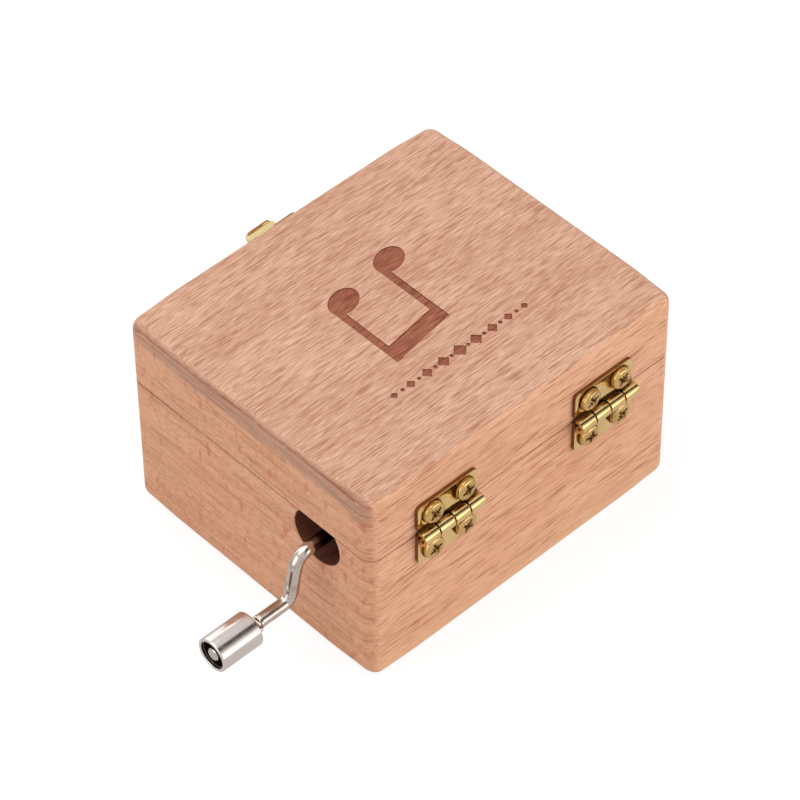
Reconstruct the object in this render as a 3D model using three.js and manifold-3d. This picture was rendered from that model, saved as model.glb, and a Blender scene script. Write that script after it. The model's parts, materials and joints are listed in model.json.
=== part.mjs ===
// Hand crank music box: a milled beech box with a hinged lid, and an 18 note comb movement inside it.
// Millimetres, +Z up. The origin is the centre of the base's flat face, +X is the way out of the crank
// face, +Y is the hinge side and -Y is the latch side.
import * as THREE from 'three';
import { mergeVertices } from 'three/addons/utils/BufferGeometryUtils.js';
import Module from 'manifold-3d';

const wasm = await Module();
wasm.setup();

// Clearances that every piece shares
const seatGap = 0.06;
const fitGap = 0.12;
const endGap = 0.3;
const overrun = 1;

// Wooden box
const boxLength = 64;
const boxDepth = 54;
const boxHeight = 39;
const seamGap = 0.2;
const wall = 6;
const floorThickness = 5;
const roofThickness = 6;
const cornerRadius = 2.3;
const edgeRounding = 0.8;
const cavityCornerRadius = 4;
const crankHoleRadius = 4.95;
const crankHoleShift = -0.3;
const crankHoleRise = 0.5;

// Hinges
const nearHingeInset = 15.2;
const farHingeInset = 15.9;
const leafWidth = 12.3;
const leafHeight = 6.2;
const leafThickness = 0.6;
const leafCornerRadius = 1;
const knuckleRadius = 1.25;
const knuckleLength = 3;
const knuckleGap = 0.12;
const knuckleClearance = 0.25;
const hingePinRadius = 0.53;
const hingePinRecess = 0.5;
const rollStartAngle = THREE.MathUtils.degToRad(165);
const rollSweepAngle = THREE.MathUtils.degToRad(305);
const hingeScrewSpread = 3.3;
const hingeScrewRise = 3.9;

// Hinge screws
const hingeScrewHeadRadius = 1.9;
const hingeScrewHeadHeight = 1;
const hingeScrewShankRadius = 0.75;
const hingeScrewLength = 5;
const crossWidth = 0.42;
const crossReach = 1.15;
const crossDepth = 0.5;
const headRimShare = 0.4;
const headCrownShare = 0.75;

// Latch
const latchX = 2.7;
const latchSheet = 0.6;
const catchWidth = 12.6;
const catchRise = 1.9;
const catchTopInset = 1.4;
const latchCornerRadius = 1.2;
const tongueWidth = 5.5;
const tongueReach = 2.8;
const tongueTopInset = 0.1;
const tongueLength = 6.2;
const tongueBendRadius = 1;
const tongueSlopeShare = 0.4;
const tongueCurveShare = 0.6;
const basePlateDrop = 1.1;
const basePlateHeight = 14.4;
const leverPivotOut = 3.3;
const leverPivotDrop = 2.3;
const leverPinRadius = 0.5;
const earRadius = 1.1;
const earThickness = 0.6;
const cheekSpread = 1.7;
const cheekThickness = 0.5;
const cheekGap = 0.2;
const cheekRadius = 1.5;
const loopLobeRadius = 1;
const loopPivotIn = 1.45;
const loopPivotDrop = 3.1;
const loopWireRadius = 0.55;
const loopLength = 14.7;
const loopCornerRadius = 1.2;
const loopShoulderShare = 1.4;
const leverCrownAngles = [95, 45].map(THREE.MathUtils.degToRad);
const leverFlankShare = 0.22;
const leverWaistShare = 0.62;
const cheekStartAngle = THREE.MathUtils.degToRad(171);
const lobeStartAngle = THREE.MathUtils.degToRad(162);
const lobeEndAngle = THREE.MathUtils.degToRad(252);
const leverTailLength = 12.6;
const leverTailOut = 4.9;
const leverTailWidth = 5.2;
const leverWaistOut = 2.9;
const nailHeadRadius = 1.05;
const nailHeadHeight = 0.5;
const nailShankRadius = 0.45;
const nailLength = 4;
const nailEdge = 1.2;

// Crank
const crankInset = 11.5;
const crankHeadroom = 3.6;
const crankRodRadius = 1.1;
const crankRodOverhang = 1.7;
const crankNeckLength = 4.2;
const crankSlant = 1.8;
const crankRadius = 8.55;
const firstBendTrim = 2.6;
const secondBendTrim = 1.9;
const knobRadius = 2.95;
const knobSpace = 8;
const knobLength = 7.75;
const knobEdge = 0.25;
const knobWeb = 3.2;
const knobRim = 0.55;
const rodCollarRadius = 1.7;
const rodCollarLength = 0.7;
const rodTipInset = 0.2;
const crimpLength = 0.9;
const crimpFlatShare = 0.8;
const crimpWideShare = 1.6;
const crimpThinShare = 0.85;

// Movement frame
const bedFarSpace = 2;
const bedCrankSpace = 3;
const bedBackSpace = 0.8;
const bedFrontSpace = 8;
const bedThickness = 1.8;
const bedCornerRadius = 2;
const windowCornerShare = 0.36;
const bearingWidth = 6.4;
const bearingThickness = 1.6;
const bearingFoot = 9;
const baseScrewHeadRadius = 2.5;
const baseScrewHeadHeight = 1.4;
const baseScrewShankRadius = 1.1;
const baseScrewRecess = 1.9;
const baseScrewInset = 4.3;

// Drum
const drumInset = 18;
const drumFloorSpace = 0.64;
const drumOverWheel = 0.1;
const drumWall = 0.7;
const drumFrontSpace = 4.4;
const drumWheelSpace = 3.2;
const drumShaftRadius = 1;
const pinRadius = 0.28;
const pinHeight = 0.5;
const pinRoot = 0.3;
const pinSteps = 54;
const capThickness = 1;

// Worm and wheel
const wheelTeeth = 20;
const wheelPitchRadius = 6.2;
const wheelWidth = 2.8;
const wormPitchRadius = 2.4;
const wormHubRadius = 1.6;
const hubShare = 1.4;
const threadLength = 8.4;
const meshBacklash = 0.34;
const pressureAngle = THREE.MathUtils.degToRad(20);
const addendumShare = 0.8;
const dedendumShare = 1.1;

// Comb
const toothCount = 18;
const trackSpace = 0.6;
const toothSlotShare = 0.245;
const toothTipShare = 0.455;
const toothTipLength = 1.2;
const toothTipGap = 0.3;
const bassSlotShare = 0.592;
const trebleSlotShare = 0.359;
const combThickness = 1.1;
const combInset = 2.6;
const combMargin = 1.3;
const combPadLand = 1.2;
const combScrewHeadRadius = 1.7;
const combScrewHeadHeight = 1.1;
const combScrewShankRadius = 0.8;
const combScrewDepth = 4;
const combScrewInset = 2.9;

// Crank bearing posts
const postThickness = 1.4;
const postWidth = 6;
const postFoot = 6.4;
const postScrewShare = 0.6;
const postSheet = 1.2;
const postWheelGap = 0.6;
const postCrown = 2.6;
const wormEndPlay = 0.25;

// Places that follow from the sizes above
const halfLength = boxLength / 2;
const halfDepth = boxDepth / 2;
const bedBottom = floorThickness + seatGap;
const bedTop = bedBottom + bedThickness;
const drumRadius = wheelPitchRadius + drumOverWheel;
const pinTipRadius = drumRadius + pinHeight;
const drumZ = bedTop + drumFloorSpace + pinTipRadius;
const crankZ = drumZ + wheelPitchRadius + wormPitchRadius;
const seamHeight = crankZ + crankHeadroom;
const bodyTop = seamHeight - seamGap / 2;
const lidBottom = seamHeight + seamGap / 2;
const hingeAxisOut = halfDepth + seatGap + knuckleRadius;
const hingePlaces = { near: halfLength - nearHingeInset, far: farHingeInset - halfLength };
const catchBottom = seamHeight + catchRise;
const catchTop = boxHeight - catchTopInset;
const tongueTop = catchTop - tongueTopInset;
const tongueRootHeight = tongueTop - tongueLength;
const basePlateTop = seamHeight - basePlateDrop;
const basePlateBottom = basePlateTop - basePlateHeight;
const leverPivotHeight = basePlateTop - leverPivotDrop;
const crankY = halfDepth - crankInset;
const crankFirstBendX = halfLength + crankNeckLength;
const crankSecondBendX = crankFirstBendX + crankSlant;
const knobStart = crankSecondBendX + knobSpace;
const bedStart = wall + bedFarSpace - halfLength;
const bedEnd = halfLength - wall - bedCrankSpace;
const bedFront = wall + bedFrontSpace - halfDepth;
const bedBack = halfDepth - wall - bedBackSpace;
const drumX = halfLength - wall - drumInset;
const drumStart = bedFront + drumFrontSpace;
const drumEnd = crankY - drumWheelSpace;
const threadPitch = (2 * Math.PI * wheelPitchRadius) / wheelTeeth;
const toothModule = threadPitch / Math.PI;
const addendum = addendumShare * toothModule;
const dedendum = dedendumShare * toothModule;
const combTip = drumX - pinTipRadius - toothTipGap;
const combMiddle = (drumStart + drumEnd) / 2;
const combWidth = drumEnd - drumStart - 2 * trackSpace;
const toothPitch = combWidth / toothCount;
const combBack = bedStart + combInset;
const combReach = combTip - combBack;
const combBottom = drumZ - combThickness / 2;
const postReach = wheelPitchRadius + addendum + postWheelGap;
const wormLength = 2 * (postReach - wormEndPlay);
const crankRodInnerEnd = drumX - postReach - postThickness - crankRodOverhang;
const screwSides = 12;
const holeSides = 10;
const nailSides = 8;
const roundSides = 24;

const finishes = {
  beech: { color: 0xdcae90, roughness: 0.62, metalness: 0 },
  brass: { color: 0xd9b765, roughness: 0.28, metalness: 1 },
  chrome: { color: 0xdfe0e2, roughness: 0.14, metalness: 1 },
  zinc: { color: 0xa9abab, roughness: 0.45, metalness: 1 },
  steel: { color: 0xbfc1c3, roughness: 0.3, metalness: 1 },
  nylon: { color: 0xefeee6, roughness: 0.5, metalness: 0 },
};

// Solids and placing

function toSolid(geometry) {
  const bare = geometry.clone();
  bare.deleteAttribute('normal');
  bare.deleteAttribute('uv');
  const merged = mergeVertices(bare);
  const vertProperties = new Float32Array(merged.attributes.position.array);
  const triVerts = new Uint32Array(merged.index.array);
  return new wasm.Manifold(new wasm.Mesh({ numProp: 3, vertProperties, triVerts }));
}

function toGeometry(solid) {
  const mesh = solid.getMesh();
  const geometry = new THREE.BufferGeometry();
  geometry.setAttribute('position', new THREE.BufferAttribute(mesh.vertProperties, 3));
  geometry.setIndex(new THREE.BufferAttribute(mesh.triVerts, 1));
  geometry.computeVertexNormals();
  return geometry;
}

function join(first, ...others) {
  return others.reduce((whole, piece) => whole.add(piece), first);
}

function cut(first, ...tools) {
  return tools.reduce((whole, tool) => whole.subtract(tool), first);
}

function piece(name, geometry, finish) {
  const mesh = new THREE.Mesh(geometry, new THREE.MeshStandardMaterial(finishes[finish]));
  mesh.name = name;
  return mesh;
}

function boxBetween(low, high) {
  const size = new THREE.Vector3().subVectors(high, low);
  const middle = new THREE.Vector3().addVectors(high, low).multiplyScalar(0.5);
  return new THREE.BoxGeometry(size.x, size.y, size.z).translate(middle.x, middle.y, middle.z);
}

function roundedRectangle(width, height, radius) {
  const shape = new THREE.Shape();
  const x = width / 2;
  const y = height / 2;
  shape.absarc(x - radius, y - radius, radius, 0, Math.PI / 2);
  shape.absarc(radius - x, y - radius, radius, Math.PI / 2, Math.PI);
  shape.absarc(radius - x, radius - y, radius, Math.PI, 1.5 * Math.PI);
  shape.absarc(x - radius, radius - y, radius, 1.5 * Math.PI, 2 * Math.PI);
  return shape;
}

function extrude(shape, depth, curveSegments = 6) {
  return new THREE.ExtrudeGeometry(shape, { depth, curveSegments, bevelEnabled: false });
}

// A shape drawn in the plane of Y and Z, extruded along X and centred on x = 0
function extrudeAlongX(shape, depth, curveSegments = 6) {
  const geometry = extrude(shape, depth, curveSegments).translate(0, 0, -depth / 2);
  return geometry.rotateZ(Math.PI / 2).rotateY(Math.PI / 2);
}

// A shape drawn in the plane of X and Z, extruded along +Y from y = 0
function extrudeAlongY(shape, depth, curveSegments = 6) {
  return extrude(shape, depth, curveSegments).rotateX(Math.PI / 2).translate(0, depth, 0);
}

function revolve(profile, sides) {
  const points = profile.map(([radius, height]) => new THREE.Vector2(radius, height));
  return new THREE.LatheGeometry(points, sides);
}

function rod(radius, length, sides = roundSides) {
  return new THREE.CylinderGeometry(radius, radius, length, sides);
}

// A closed surface through rings of the same number of points, with a fan on each end
function loft(rings, firstCentre, lastCentre) {
  const count = rings[0].length;
  const points = [...rings.flat(), firstCentre, lastCentre];
  const first = points.length - 2;
  const last = points.length - 1;
  const triangles = [];
  rings.slice(1).forEach((ring, row) => {
    ring.forEach((point, column) => {
      const next = (column + 1) % count;
      const low = row * count;
      const high = low + count;
      triangles.push(low + column, low + next, high + column, high + column, low + next, high + next);
    });
  });
  const top = (rings.length - 1) * count;
  for (let column = 0; column < count; column += 1) {
    const next = (column + 1) % count;
    triangles.push(first, next, column, last, top + column, top + next);
  }
  const geometry = new THREE.BufferGeometry().setFromPoints(points);
  geometry.setIndex(triangles);
  return geometry;
}

// The outline of a sheet of even thickness bent along a line of points
function bentSheet(points, thickness) {
  const sides = [[], []];
  points.forEach((point, index) => {
    const before = points[Math.max(index - 1, 0)];
    const after = points[Math.min(index + 1, points.length - 1)];
    const along = new THREE.Vector2().subVectors(after, before).normalize();
    const across = new THREE.Vector2(-along.y, along.x).multiplyScalar(thickness / 2);
    sides[0].push(point.clone().sub(across));
    sides[1].unshift(point.clone().add(across));
  });
  return new THREE.Shape([...sides[0], ...sides[1]]);
}

// Fasteners: the head's seat is at y = 0 and the shank runs down to negative y

function fastener(headRadius, headHeight, shankRadius, length, sides = screwSides) {
  const point = 2 * shankRadius;
  return revolve([
    [0, -length],
    [shankRadius, point - length],
    [shankRadius, 0],
    [headRadius, 0],
    [headRadius, headHeight * headRimShare],
    [headRadius * headCrownShare, headHeight],
    [0, headHeight],
  ], sides);
}

function crossHeadScrew(headRadius, headHeight, shankRadius, length) {
  const reach = crossReach * (headRadius / hingeScrewHeadRadius);
  const slot = (x, z) => toSolid(new THREE.BoxGeometry(2 * x, 2 * crossDepth, 2 * z)
    .translate(0, headHeight, 0));
  const body = toSolid(fastener(headRadius, headHeight, shankRadius, length));
  return toGeometry(cut(body, slot(reach, crossWidth / 2), slot(crossWidth / 2, reach)));
}

function shankHole(shankRadius, depth) {
  const length = depth + endGap + overrun;
  return rod(shankRadius + fitGap, length, holeSides).translate(0, overrun - length / 2, 0);
}

// Wooden box and lid

function block() {
  const geometry = new THREE.ExtrudeGeometry(roundedRectangle(boxLength, boxDepth, cornerRadius), {
    depth: boxHeight - 2 * edgeRounding,
    curveSegments: 4,
    bevelThickness: edgeRounding,
    bevelSize: edgeRounding,
    bevelOffset: -edgeRounding,
    bevelSegments: 2,
  });
  return toSolid(geometry.translate(0, 0, edgeRounding));
}

function slab(low, high) {
  const reach = boxLength;
  return toSolid(boxBetween(new THREE.Vector3(-reach, -reach, low), new THREE.Vector3(reach, reach, high)));
}

function pocket(low, high) {
  const outline = roundedRectangle(boxLength - 2 * wall, boxDepth - 2 * wall, cavityCornerRadius);
  return toSolid(extrude(outline, high - low).translate(0, 0, low));
}

function hingeScrewPlaces(side) {
  return Object.values(hingePlaces).flatMap((x) => [1, -1].map((end) => new THREE.Vector3(
    x + end * hingeScrewSpread,
    halfDepth + seatGap + leafThickness + seatGap,
    seamHeight + side * hingeScrewRise,
  )));
}

function hingeScrewHoles(side) {
  return hingeScrewPlaces(side).map((place) => toSolid(shankHole(hingeScrewShankRadius, hingeScrewLength)
    .translate(place.x, place.y, place.z)));
}

function nailPlaces(heights) {
  const spread = catchWidth / 2 - nailEdge;
  return heights.flatMap((z) => [1, -1].map((end) => new THREE.Vector3(
    latchX + end * spread,
    -halfDepth - seatGap - latchSheet - seatGap,
    z,
  )));
}

const catchNailHeights = [catchBottom + nailEdge];
const baseNailHeights = [basePlateBottom + nailEdge, basePlateTop - nailEdge];

function nailHoles(heights) {
  return nailPlaces(heights).map((place) => toSolid(shankHole(nailShankRadius, nailLength)
    .rotateZ(Math.PI).translate(place.x, place.y, place.z)));
}

const baseScrewPlaces = [
  new THREE.Vector2(bedStart + baseScrewInset, bedBack - baseScrewInset),
  new THREE.Vector2(bedStart + baseScrewInset, bedFront + baseScrewInset),
  new THREE.Vector2(bedEnd - baseScrewInset, bedFront + baseScrewInset),
];

function baseScrewHoles() {
  return baseScrewPlaces.flatMap((place) => {
    const height = floorThickness + 2 * overrun;
    const bore = rod(baseScrewShankRadius + fitGap, height, holeSides).rotateX(Math.PI / 2)
      .translate(place.x, place.y, floorThickness / 2);
    const sink = rod(baseScrewHeadRadius + endGap, baseScrewRecess + overrun).rotateX(Math.PI / 2)
      .translate(place.x, place.y, (baseScrewRecess - overrun) / 2);
    return [toSolid(bore), toSolid(sink)];
  });
}

function boxBody() {
  const crankHole = rod(crankHoleRadius, wall + 2 * overrun, 32).rotateZ(Math.PI / 2)
    .translate(halfLength - wall / 2, crankY + crankHoleShift, crankZ + crankHoleRise);
  const shell = block().intersect(slab(-overrun, bodyTop));
  return toGeometry(cut(
    shell,
    pocket(floorThickness, seamHeight + overrun),
    toSolid(crankHole),
    ...hingeScrewHoles(-1),
    ...nailHoles(baseNailHeights),
    ...baseScrewHoles(),
  ));
}

function lid() {
  const shell = block().intersect(slab(lidBottom, boxHeight + overrun));
  return toGeometry(cut(
    shell,
    pocket(seamHeight - overrun, boxHeight - roofThickness),
    ...hingeScrewHoles(1),
    ...nailHoles(catchNailHeights),
  ));
}

// Hinges: the local origin is on the pin's axis, y runs outwards and z up

function knuckleX(index) {
  return (1.5 - index) * (knuckleLength + knuckleGap);
}

function roll(side) {
  const start = side * rollStartAngle;
  const end = side * (rollStartAngle + rollSweepAngle);
  const inner = knuckleRadius - leafThickness;
  const shape = new THREE.Shape();
  shape.absarc(0, 0, knuckleRadius, start, end, side < 0);
  shape.absarc(0, 0, inner, end, start, side > 0);
  shape.closePath();
  return shape;
}

function hingeLeaf(side, ownKnuckles, otherKnuckles) {
  const outline = roundedRectangle(leafWidth, 2 * leafHeight, leafCornerRadius);
  const sheet = extrudeAlongY(outline, leafThickness).translate(0, -knuckleRadius, 0);
  const reach = leafHeight + overrun;
  const keep = boxBetween(
    new THREE.Vector3(-leafWidth, -reach, Math.min(0, side * reach)),
    new THREE.Vector3(leafWidth, reach, Math.max(0, side * reach)),
  );
  const plate = toSolid(sheet).intersect(toSolid(keep));
  const rolls = ownKnuckles.map((index) => toSolid(extrudeAlongX(roll(side), knuckleLength, 10)
    .translate(knuckleX(index), 0, 0)));
  const rooms = otherKnuckles.map((index) => {
    const half = knuckleLength / 2 + knuckleGap + (index === 0 || index === 3 ? overrun : 0);
    const shift = index === 0 ? overrun : index === 3 ? -overrun : 0;
    const clear = knuckleRadius + knuckleClearance;
    return toSolid(new THREE.BoxGeometry(2 * half, 2 * reach, 2 * clear)
      .translate(knuckleX(index) + shift, 0, 0));
  });
  const holes = [1, -1].map((end) => toSolid(rod(hingeScrewShankRadius + fitGap, 2 * reach, holeSides)
    .translate(end * hingeScrewSpread, 0, side * hingeScrewRise)));
  return toGeometry(cut(join(cut(plate, ...rooms), ...rolls), ...holes));
}

function hingePin() {
  const length = 4 * knuckleLength + 3 * knuckleGap - 2 * hingePinRecess;
  return rod(hingePinRadius, length, screwSides).rotateZ(Math.PI / 2);
}

function hinge(place, x) {
  const group = new THREE.Group();
  group.position.set(x, hingeAxisOut, seamHeight);
  group.add(
    piece(`hinge_${place}_body_leaf`, hingeLeaf(-1, [0, 2], [1, 3]), 'brass'),
    piece(`hinge_${place}_lid_leaf`, hingeLeaf(1, [1, 3], [0, 2]), 'brass'),
    piece(`hinge_${place}_pin`, hingePin(), 'brass'),
  );
  return group;
}

function hingeScrews() {
  const geometry = crossHeadScrew(
    hingeScrewHeadRadius, hingeScrewHeadHeight, hingeScrewShankRadius, hingeScrewLength,
  );
  const sides = { lid: 1, body: -1 };
  const places = Object.keys(hingePlaces);
  return Object.entries(sides).flatMap(([part, side]) => hingeScrewPlaces(side).map((place, index) => {
    const name = `hinge_${places[Math.floor(index / 2)]}_${part}_screw_${(index % 2) + 1}`;
    const screw = piece(name, geometry.clone(), 'brass');
    screw.position.copy(place);
    screw.rotation.y = index;
    return screw;
  }));
}

// Latch: drawn with y running outwards from the box's front face, x from the latch's middle

const earSpread = cheekSpread + cheekThickness / 2 + cheekGap + earThickness / 2;
const loopSpread = earSpread + earThickness / 2 + cheekGap + loopWireRadius;

function latchPlate(bottom, top) {
  const outline = roundedRectangle(catchWidth, top - bottom, latchCornerRadius);
  const sheet = extrudeAlongY(outline, latchSheet).translate(0, seatGap, (top + bottom) / 2);
  return toSolid(sheet);
}

function plateNailHoles(heights) {
  const spread = catchWidth / 2 - nailEdge;
  return heights.flatMap((z) => [1, -1].map((end) => toSolid(
    rod(nailShankRadius + fitGap, 2 * overrun + 2 * latchSheet, holeSides).translate(end * spread, 0, z),
  )));
}

function latchCatch() {
  const out = tongueReach - latchSheet / 2;
  const root = seatGap + latchSheet / 2;
  const bend = tongueRootHeight + tongueBendRadius;
  const line = new THREE.Path();
  line.moveTo(root, tongueRootHeight);
  line.lineTo(out - tongueBendRadius, tongueRootHeight + tongueBendRadius * tongueSlopeShare);
  const turn = tongueRootHeight + tongueBendRadius * tongueCurveShare;
  line.quadraticCurveTo(out, turn, out, bend + tongueBendRadius);
  line.lineTo(out, tongueTop);
  const tongue = extrudeAlongX(bentSheet(line.getPoints(6), latchSheet), tongueWidth);
  const tip = extrudeAlongY(roundedRectangle(tongueWidth, 2 * (tongueTop - bend), latchCornerRadius),
    tongueReach + overrun).translate(0, 0, bend);
  const low = boxBetween(
    new THREE.Vector3(-tongueWidth, -overrun, tongueRootHeight - latchSheet),
    new THREE.Vector3(tongueWidth, tongueReach + overrun, bend),
  );
  const shaped = toSolid(tongue).intersect(join(toSolid(tip), toSolid(low)));
  return toGeometry(cut(join(latchPlate(catchBottom, catchTop), shaped), ...plateNailHoles(catchNailHeights)));
}

function earOutline() {
  const shape = new THREE.Shape();
  const inner = seatGap + latchSheet / 2;
  shape.moveTo(inner, leverPivotHeight - 2 * earRadius);
  shape.lineTo(leverPivotOut, leverPivotHeight - earRadius);
  shape.absarc(leverPivotOut, leverPivotHeight, earRadius, -Math.PI / 2, Math.PI / 2);
  shape.lineTo(inner, leverPivotHeight + earRadius);
  shape.closePath();
  return shape;
}

function latchBase() {
  const ears = [1, -1].map((end) => toSolid(extrudeAlongX(earOutline(), earThickness)
    .translate(end * earSpread, 0, 0)));
  const bore = rod(leverPinRadius + fitGap, 2 * loopSpread, screwSides).rotateZ(Math.PI / 2)
    .translate(0, leverPivotOut, leverPivotHeight);
  const plate = join(latchPlate(basePlateBottom, basePlateTop), ...ears);
  return toGeometry(cut(plate, toSolid(bore), ...plateNailHoles(baseNailHeights)));
}

const loopPivotOut = leverPivotOut - loopPivotIn;
const loopPivotHeight = leverPivotHeight - loopPivotDrop;

function leverBand() {
  const crown = leverCrownAngles.map((angle) => new THREE.Vector2(cheekRadius, 0)
    .rotateAround(new THREE.Vector2(), angle)
    .add(new THREE.Vector2(leverPivotOut, leverPivotHeight)));
  const spline = new THREE.SplineCurve([
    ...crown,
    new THREE.Vector2(leverPivotOut + cheekRadius, leverPivotHeight),
    new THREE.Vector2(leverPivotOut + cheekRadius, leverPivotHeight - leverTailLength * leverFlankShare),
    new THREE.Vector2(leverWaistOut, leverPivotHeight - leverTailLength * leverWaistShare),
    new THREE.Vector2(leverTailOut, leverPivotHeight - leverTailLength),
  ]);
  return bentSheet(spline.getPoints(14), latchSheet);
}

// The lever seen from the front: narrow between the ears, wider below them, with a round end
function leverFace() {
  const neck = cheekSpread + cheekThickness / 2;
  const wide = leverTailWidth / 2;
  const shoulder = loopPivotHeight - loopLobeRadius;
  const bottom = leverPivotHeight - leverTailLength - latchSheet / 2;
  const top = leverPivotHeight + cheekRadius + overrun;
  const shape = new THREE.Shape();
  shape.moveTo(-neck, top);
  shape.lineTo(-neck, shoulder);
  shape.lineTo(-wide, shoulder - (wide - neck));
  shape.absarc(0, bottom + wide, wide, Math.PI, 2 * Math.PI);
  shape.lineTo(wide, shoulder - (wide - neck));
  shape.lineTo(neck, shoulder);
  shape.lineTo(neck, top);
  shape.closePath();
  return shape;
}

function cheekOutline() {
  const shape = new THREE.Shape();
  const rim = leverPivotOut + cheekRadius;
  shape.moveTo(rim, leverPivotHeight);
  shape.absarc(leverPivotOut, leverPivotHeight, cheekRadius, 0, cheekStartAngle);
  shape.absarc(loopPivotOut, loopPivotHeight, loopLobeRadius, lobeStartAngle, lobeEndAngle);
  shape.lineTo(leverWaistOut, leverPivotHeight - leverTailLength * leverWaistShare);
  shape.lineTo(rim, leverPivotHeight - leverTailLength * leverFlankShare);
  shape.closePath();
  return shape;
}

function latchLever() {
  const reach = leverTailOut + 2 * overrun;
  const face = toSolid(extrudeAlongY(leverFace(), reach));
  const band = toSolid(extrudeAlongX(leverBand(), leverTailWidth)).intersect(face);
  const cheeks = [1, -1].map((end) => toSolid(extrudeAlongX(cheekOutline(), cheekThickness)
    .translate(end * cheekSpread, 0, 0)));
  const bore = (radius, out, height) => toSolid(rod(radius + fitGap, 2 * reach, screwSides)
    .rotateZ(Math.PI / 2).translate(0, out, height));
  return toGeometry(cut(
    join(band, ...cheeks),
    bore(leverPinRadius, leverPivotOut, leverPivotHeight),
    bore(loopWireRadius, loopPivotOut, loopPivotHeight),
  ));
}

function latchLeverPin() {
  const length = 2 * earSpread + earThickness;
  return rod(leverPinRadius, length, screwSides).rotateZ(Math.PI / 2)
    .translate(0, leverPivotOut, leverPivotHeight);
}

// Rings of a round wire about each point of a line in a plane; wide and thin scale the section
function wireRings(points, radius, sides, place, sections = () => [1, 1]) {
  return points.map((point, index) => {
    const before = points[Math.max(index - 1, 0)];
    const after = points[Math.min(index + 1, points.length - 1)];
    const into = new THREE.Vector2().subVectors(point, before).normalize();
    const outOf = new THREE.Vector2().subVectors(after, point).normalize();
    const along = new THREE.Vector2().addVectors(into, outOf).normalize();
    const stretch = 1 / Math.max(along.dot(index ? into : outOf), 0.5);
    const [wide, thin] = sections(point, index);
    return Array.from({ length: sides }, (unused, side) => {
      const angle = (2 * Math.PI * side) / sides;
      const across = radius * thin * Math.cos(angle) * stretch;
      const beside = radius * wide * Math.sin(angle);
      return place(point.x - along.y * across, point.y + along.x * across, beside);
    });
  });
}

function latchLoop() {
  const half = loopSpread;
  const low = -loopLength;
  const trim = loopCornerRadius;
  const inner = cheekSpread - cheekThickness / 2;
  const corner = loopWireRadius * loopShoulderShare;
  const line = new THREE.Path();
  line.moveTo(-inner, 0);
  line.lineTo(corner - half, 0);
  line.quadraticCurveTo(-half, 0, -half, -corner);
  line.lineTo(-half, low + trim);
  line.quadraticCurveTo(-half, low, trim - half, low);
  line.lineTo(half - trim, low);
  line.quadraticCurveTo(half, low, half, low + trim);
  line.lineTo(half, -corner);
  line.quadraticCurveTo(half, 0, half - corner, 0);
  line.lineTo(inner, 0);
  const points = line.getPoints(3);
  const place = (x, z, y) => new THREE.Vector3(x, -y, z);
  const rings = wireRings(points, loopWireRadius, 8, place);
  const first = points[0];
  const last = points[points.length - 1];
  return loft(rings, place(first.x, first.y, 0), place(last.x, last.y, 0))
    .translate(0, loopPivotOut, loopPivotHeight);
}

function latch() {
  const group = new THREE.Group();
  group.position.set(latchX, -halfDepth, 0);
  group.rotation.z = Math.PI;
  group.add(
    piece('latch_catch_plate', latchCatch(), 'brass'),
    piece('latch_base_plate', latchBase(), 'brass'),
    piece('latch_lever', latchLever(), 'brass'),
    piece('latch_lever_pin', latchLeverPin(), 'brass'),
    piece('latch_loop', latchLoop(), 'brass'),
  );
  return group;
}

function latchNails() {
  const geometry = fastener(nailHeadRadius, nailHeadHeight, nailShankRadius, nailLength, nailSides);
  const sets = { catch: catchNailHeights, base: baseNailHeights };
  return Object.entries(sets).flatMap(([part, heights]) => nailPlaces(heights).map((place, index) => {
    const nail = piece(`latch_${part}_nail_${index + 1}`, geometry.clone(), 'brass');
    nail.position.copy(place);
    nail.rotation.z = Math.PI;
    return nail;
  }));
}

// Crank

function crankRod() {
  const arm = crankZ - crankRadius;
  const end = knobStart + knobLength - rodTipInset;
  const corners = [
    new THREE.Vector2(crankRodInnerEnd, crankZ),
    new THREE.Vector2(crankFirstBendX, crankZ),
    new THREE.Vector2(crankSecondBendX, arm),
    new THREE.Vector2(end, arm),
  ];
  const trims = [0, firstBendTrim, secondBendTrim, 0];
  const towards = (from, to, distance) => from.clone()
    .add(new THREE.Vector2().subVectors(to, from).setLength(distance));
  const line = new THREE.Path();
  line.moveTo(corners[0].x, corners[0].y);
  [1, 2].forEach((index) => {
    const corner = corners[index];
    const enter = towards(corner, corners[index - 1], trims[index]);
    const leave = towards(corner, corners[index + 1], trims[index]);
    line.lineTo(enter.x, enter.y);
    line.quadraticCurveTo(corner.x, corner.y, leave.x, leave.y);
  });
  const crimp = knobStart - endGap - crimpLength;
  const collar = knobStart + knobWeb + endGap;
  const collarShare = rodCollarRadius / crankRodRadius;
  const marks = [
    [crimp - crimpLength, 1, 1],
    [crimp, crimpWideShare, crimpThinShare],
    [crimp + crimpLength * crimpFlatShare, crimpWideShare, crimpThinShare],
    [crimp + crimpLength, 1, 1],
    [collar - seatGap, 1, 1],
    [collar, collarShare, collarShare],
    [collar + rodCollarLength, collarShare, collarShare],
    [collar + rodCollarLength + seatGap, 1, 1],
    [end, 1, 1],
  ];
  marks.forEach(([x]) => line.lineTo(x, arm));
  const points = line.getPoints(7);
  const firstMark = points.length - marks.length;
  const sections = (point, index) => (index < firstMark ? [1, 1] : marks[index - firstMark].slice(1));
  const place = (x, z, y) => new THREE.Vector3(x, crankY - y, z);
  const rings = wireRings(points, crankRodRadius, 14, place, sections);
  return loft(rings, place(corners[0].x, crankZ, 0), place(end, arm, 0));
}

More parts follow.
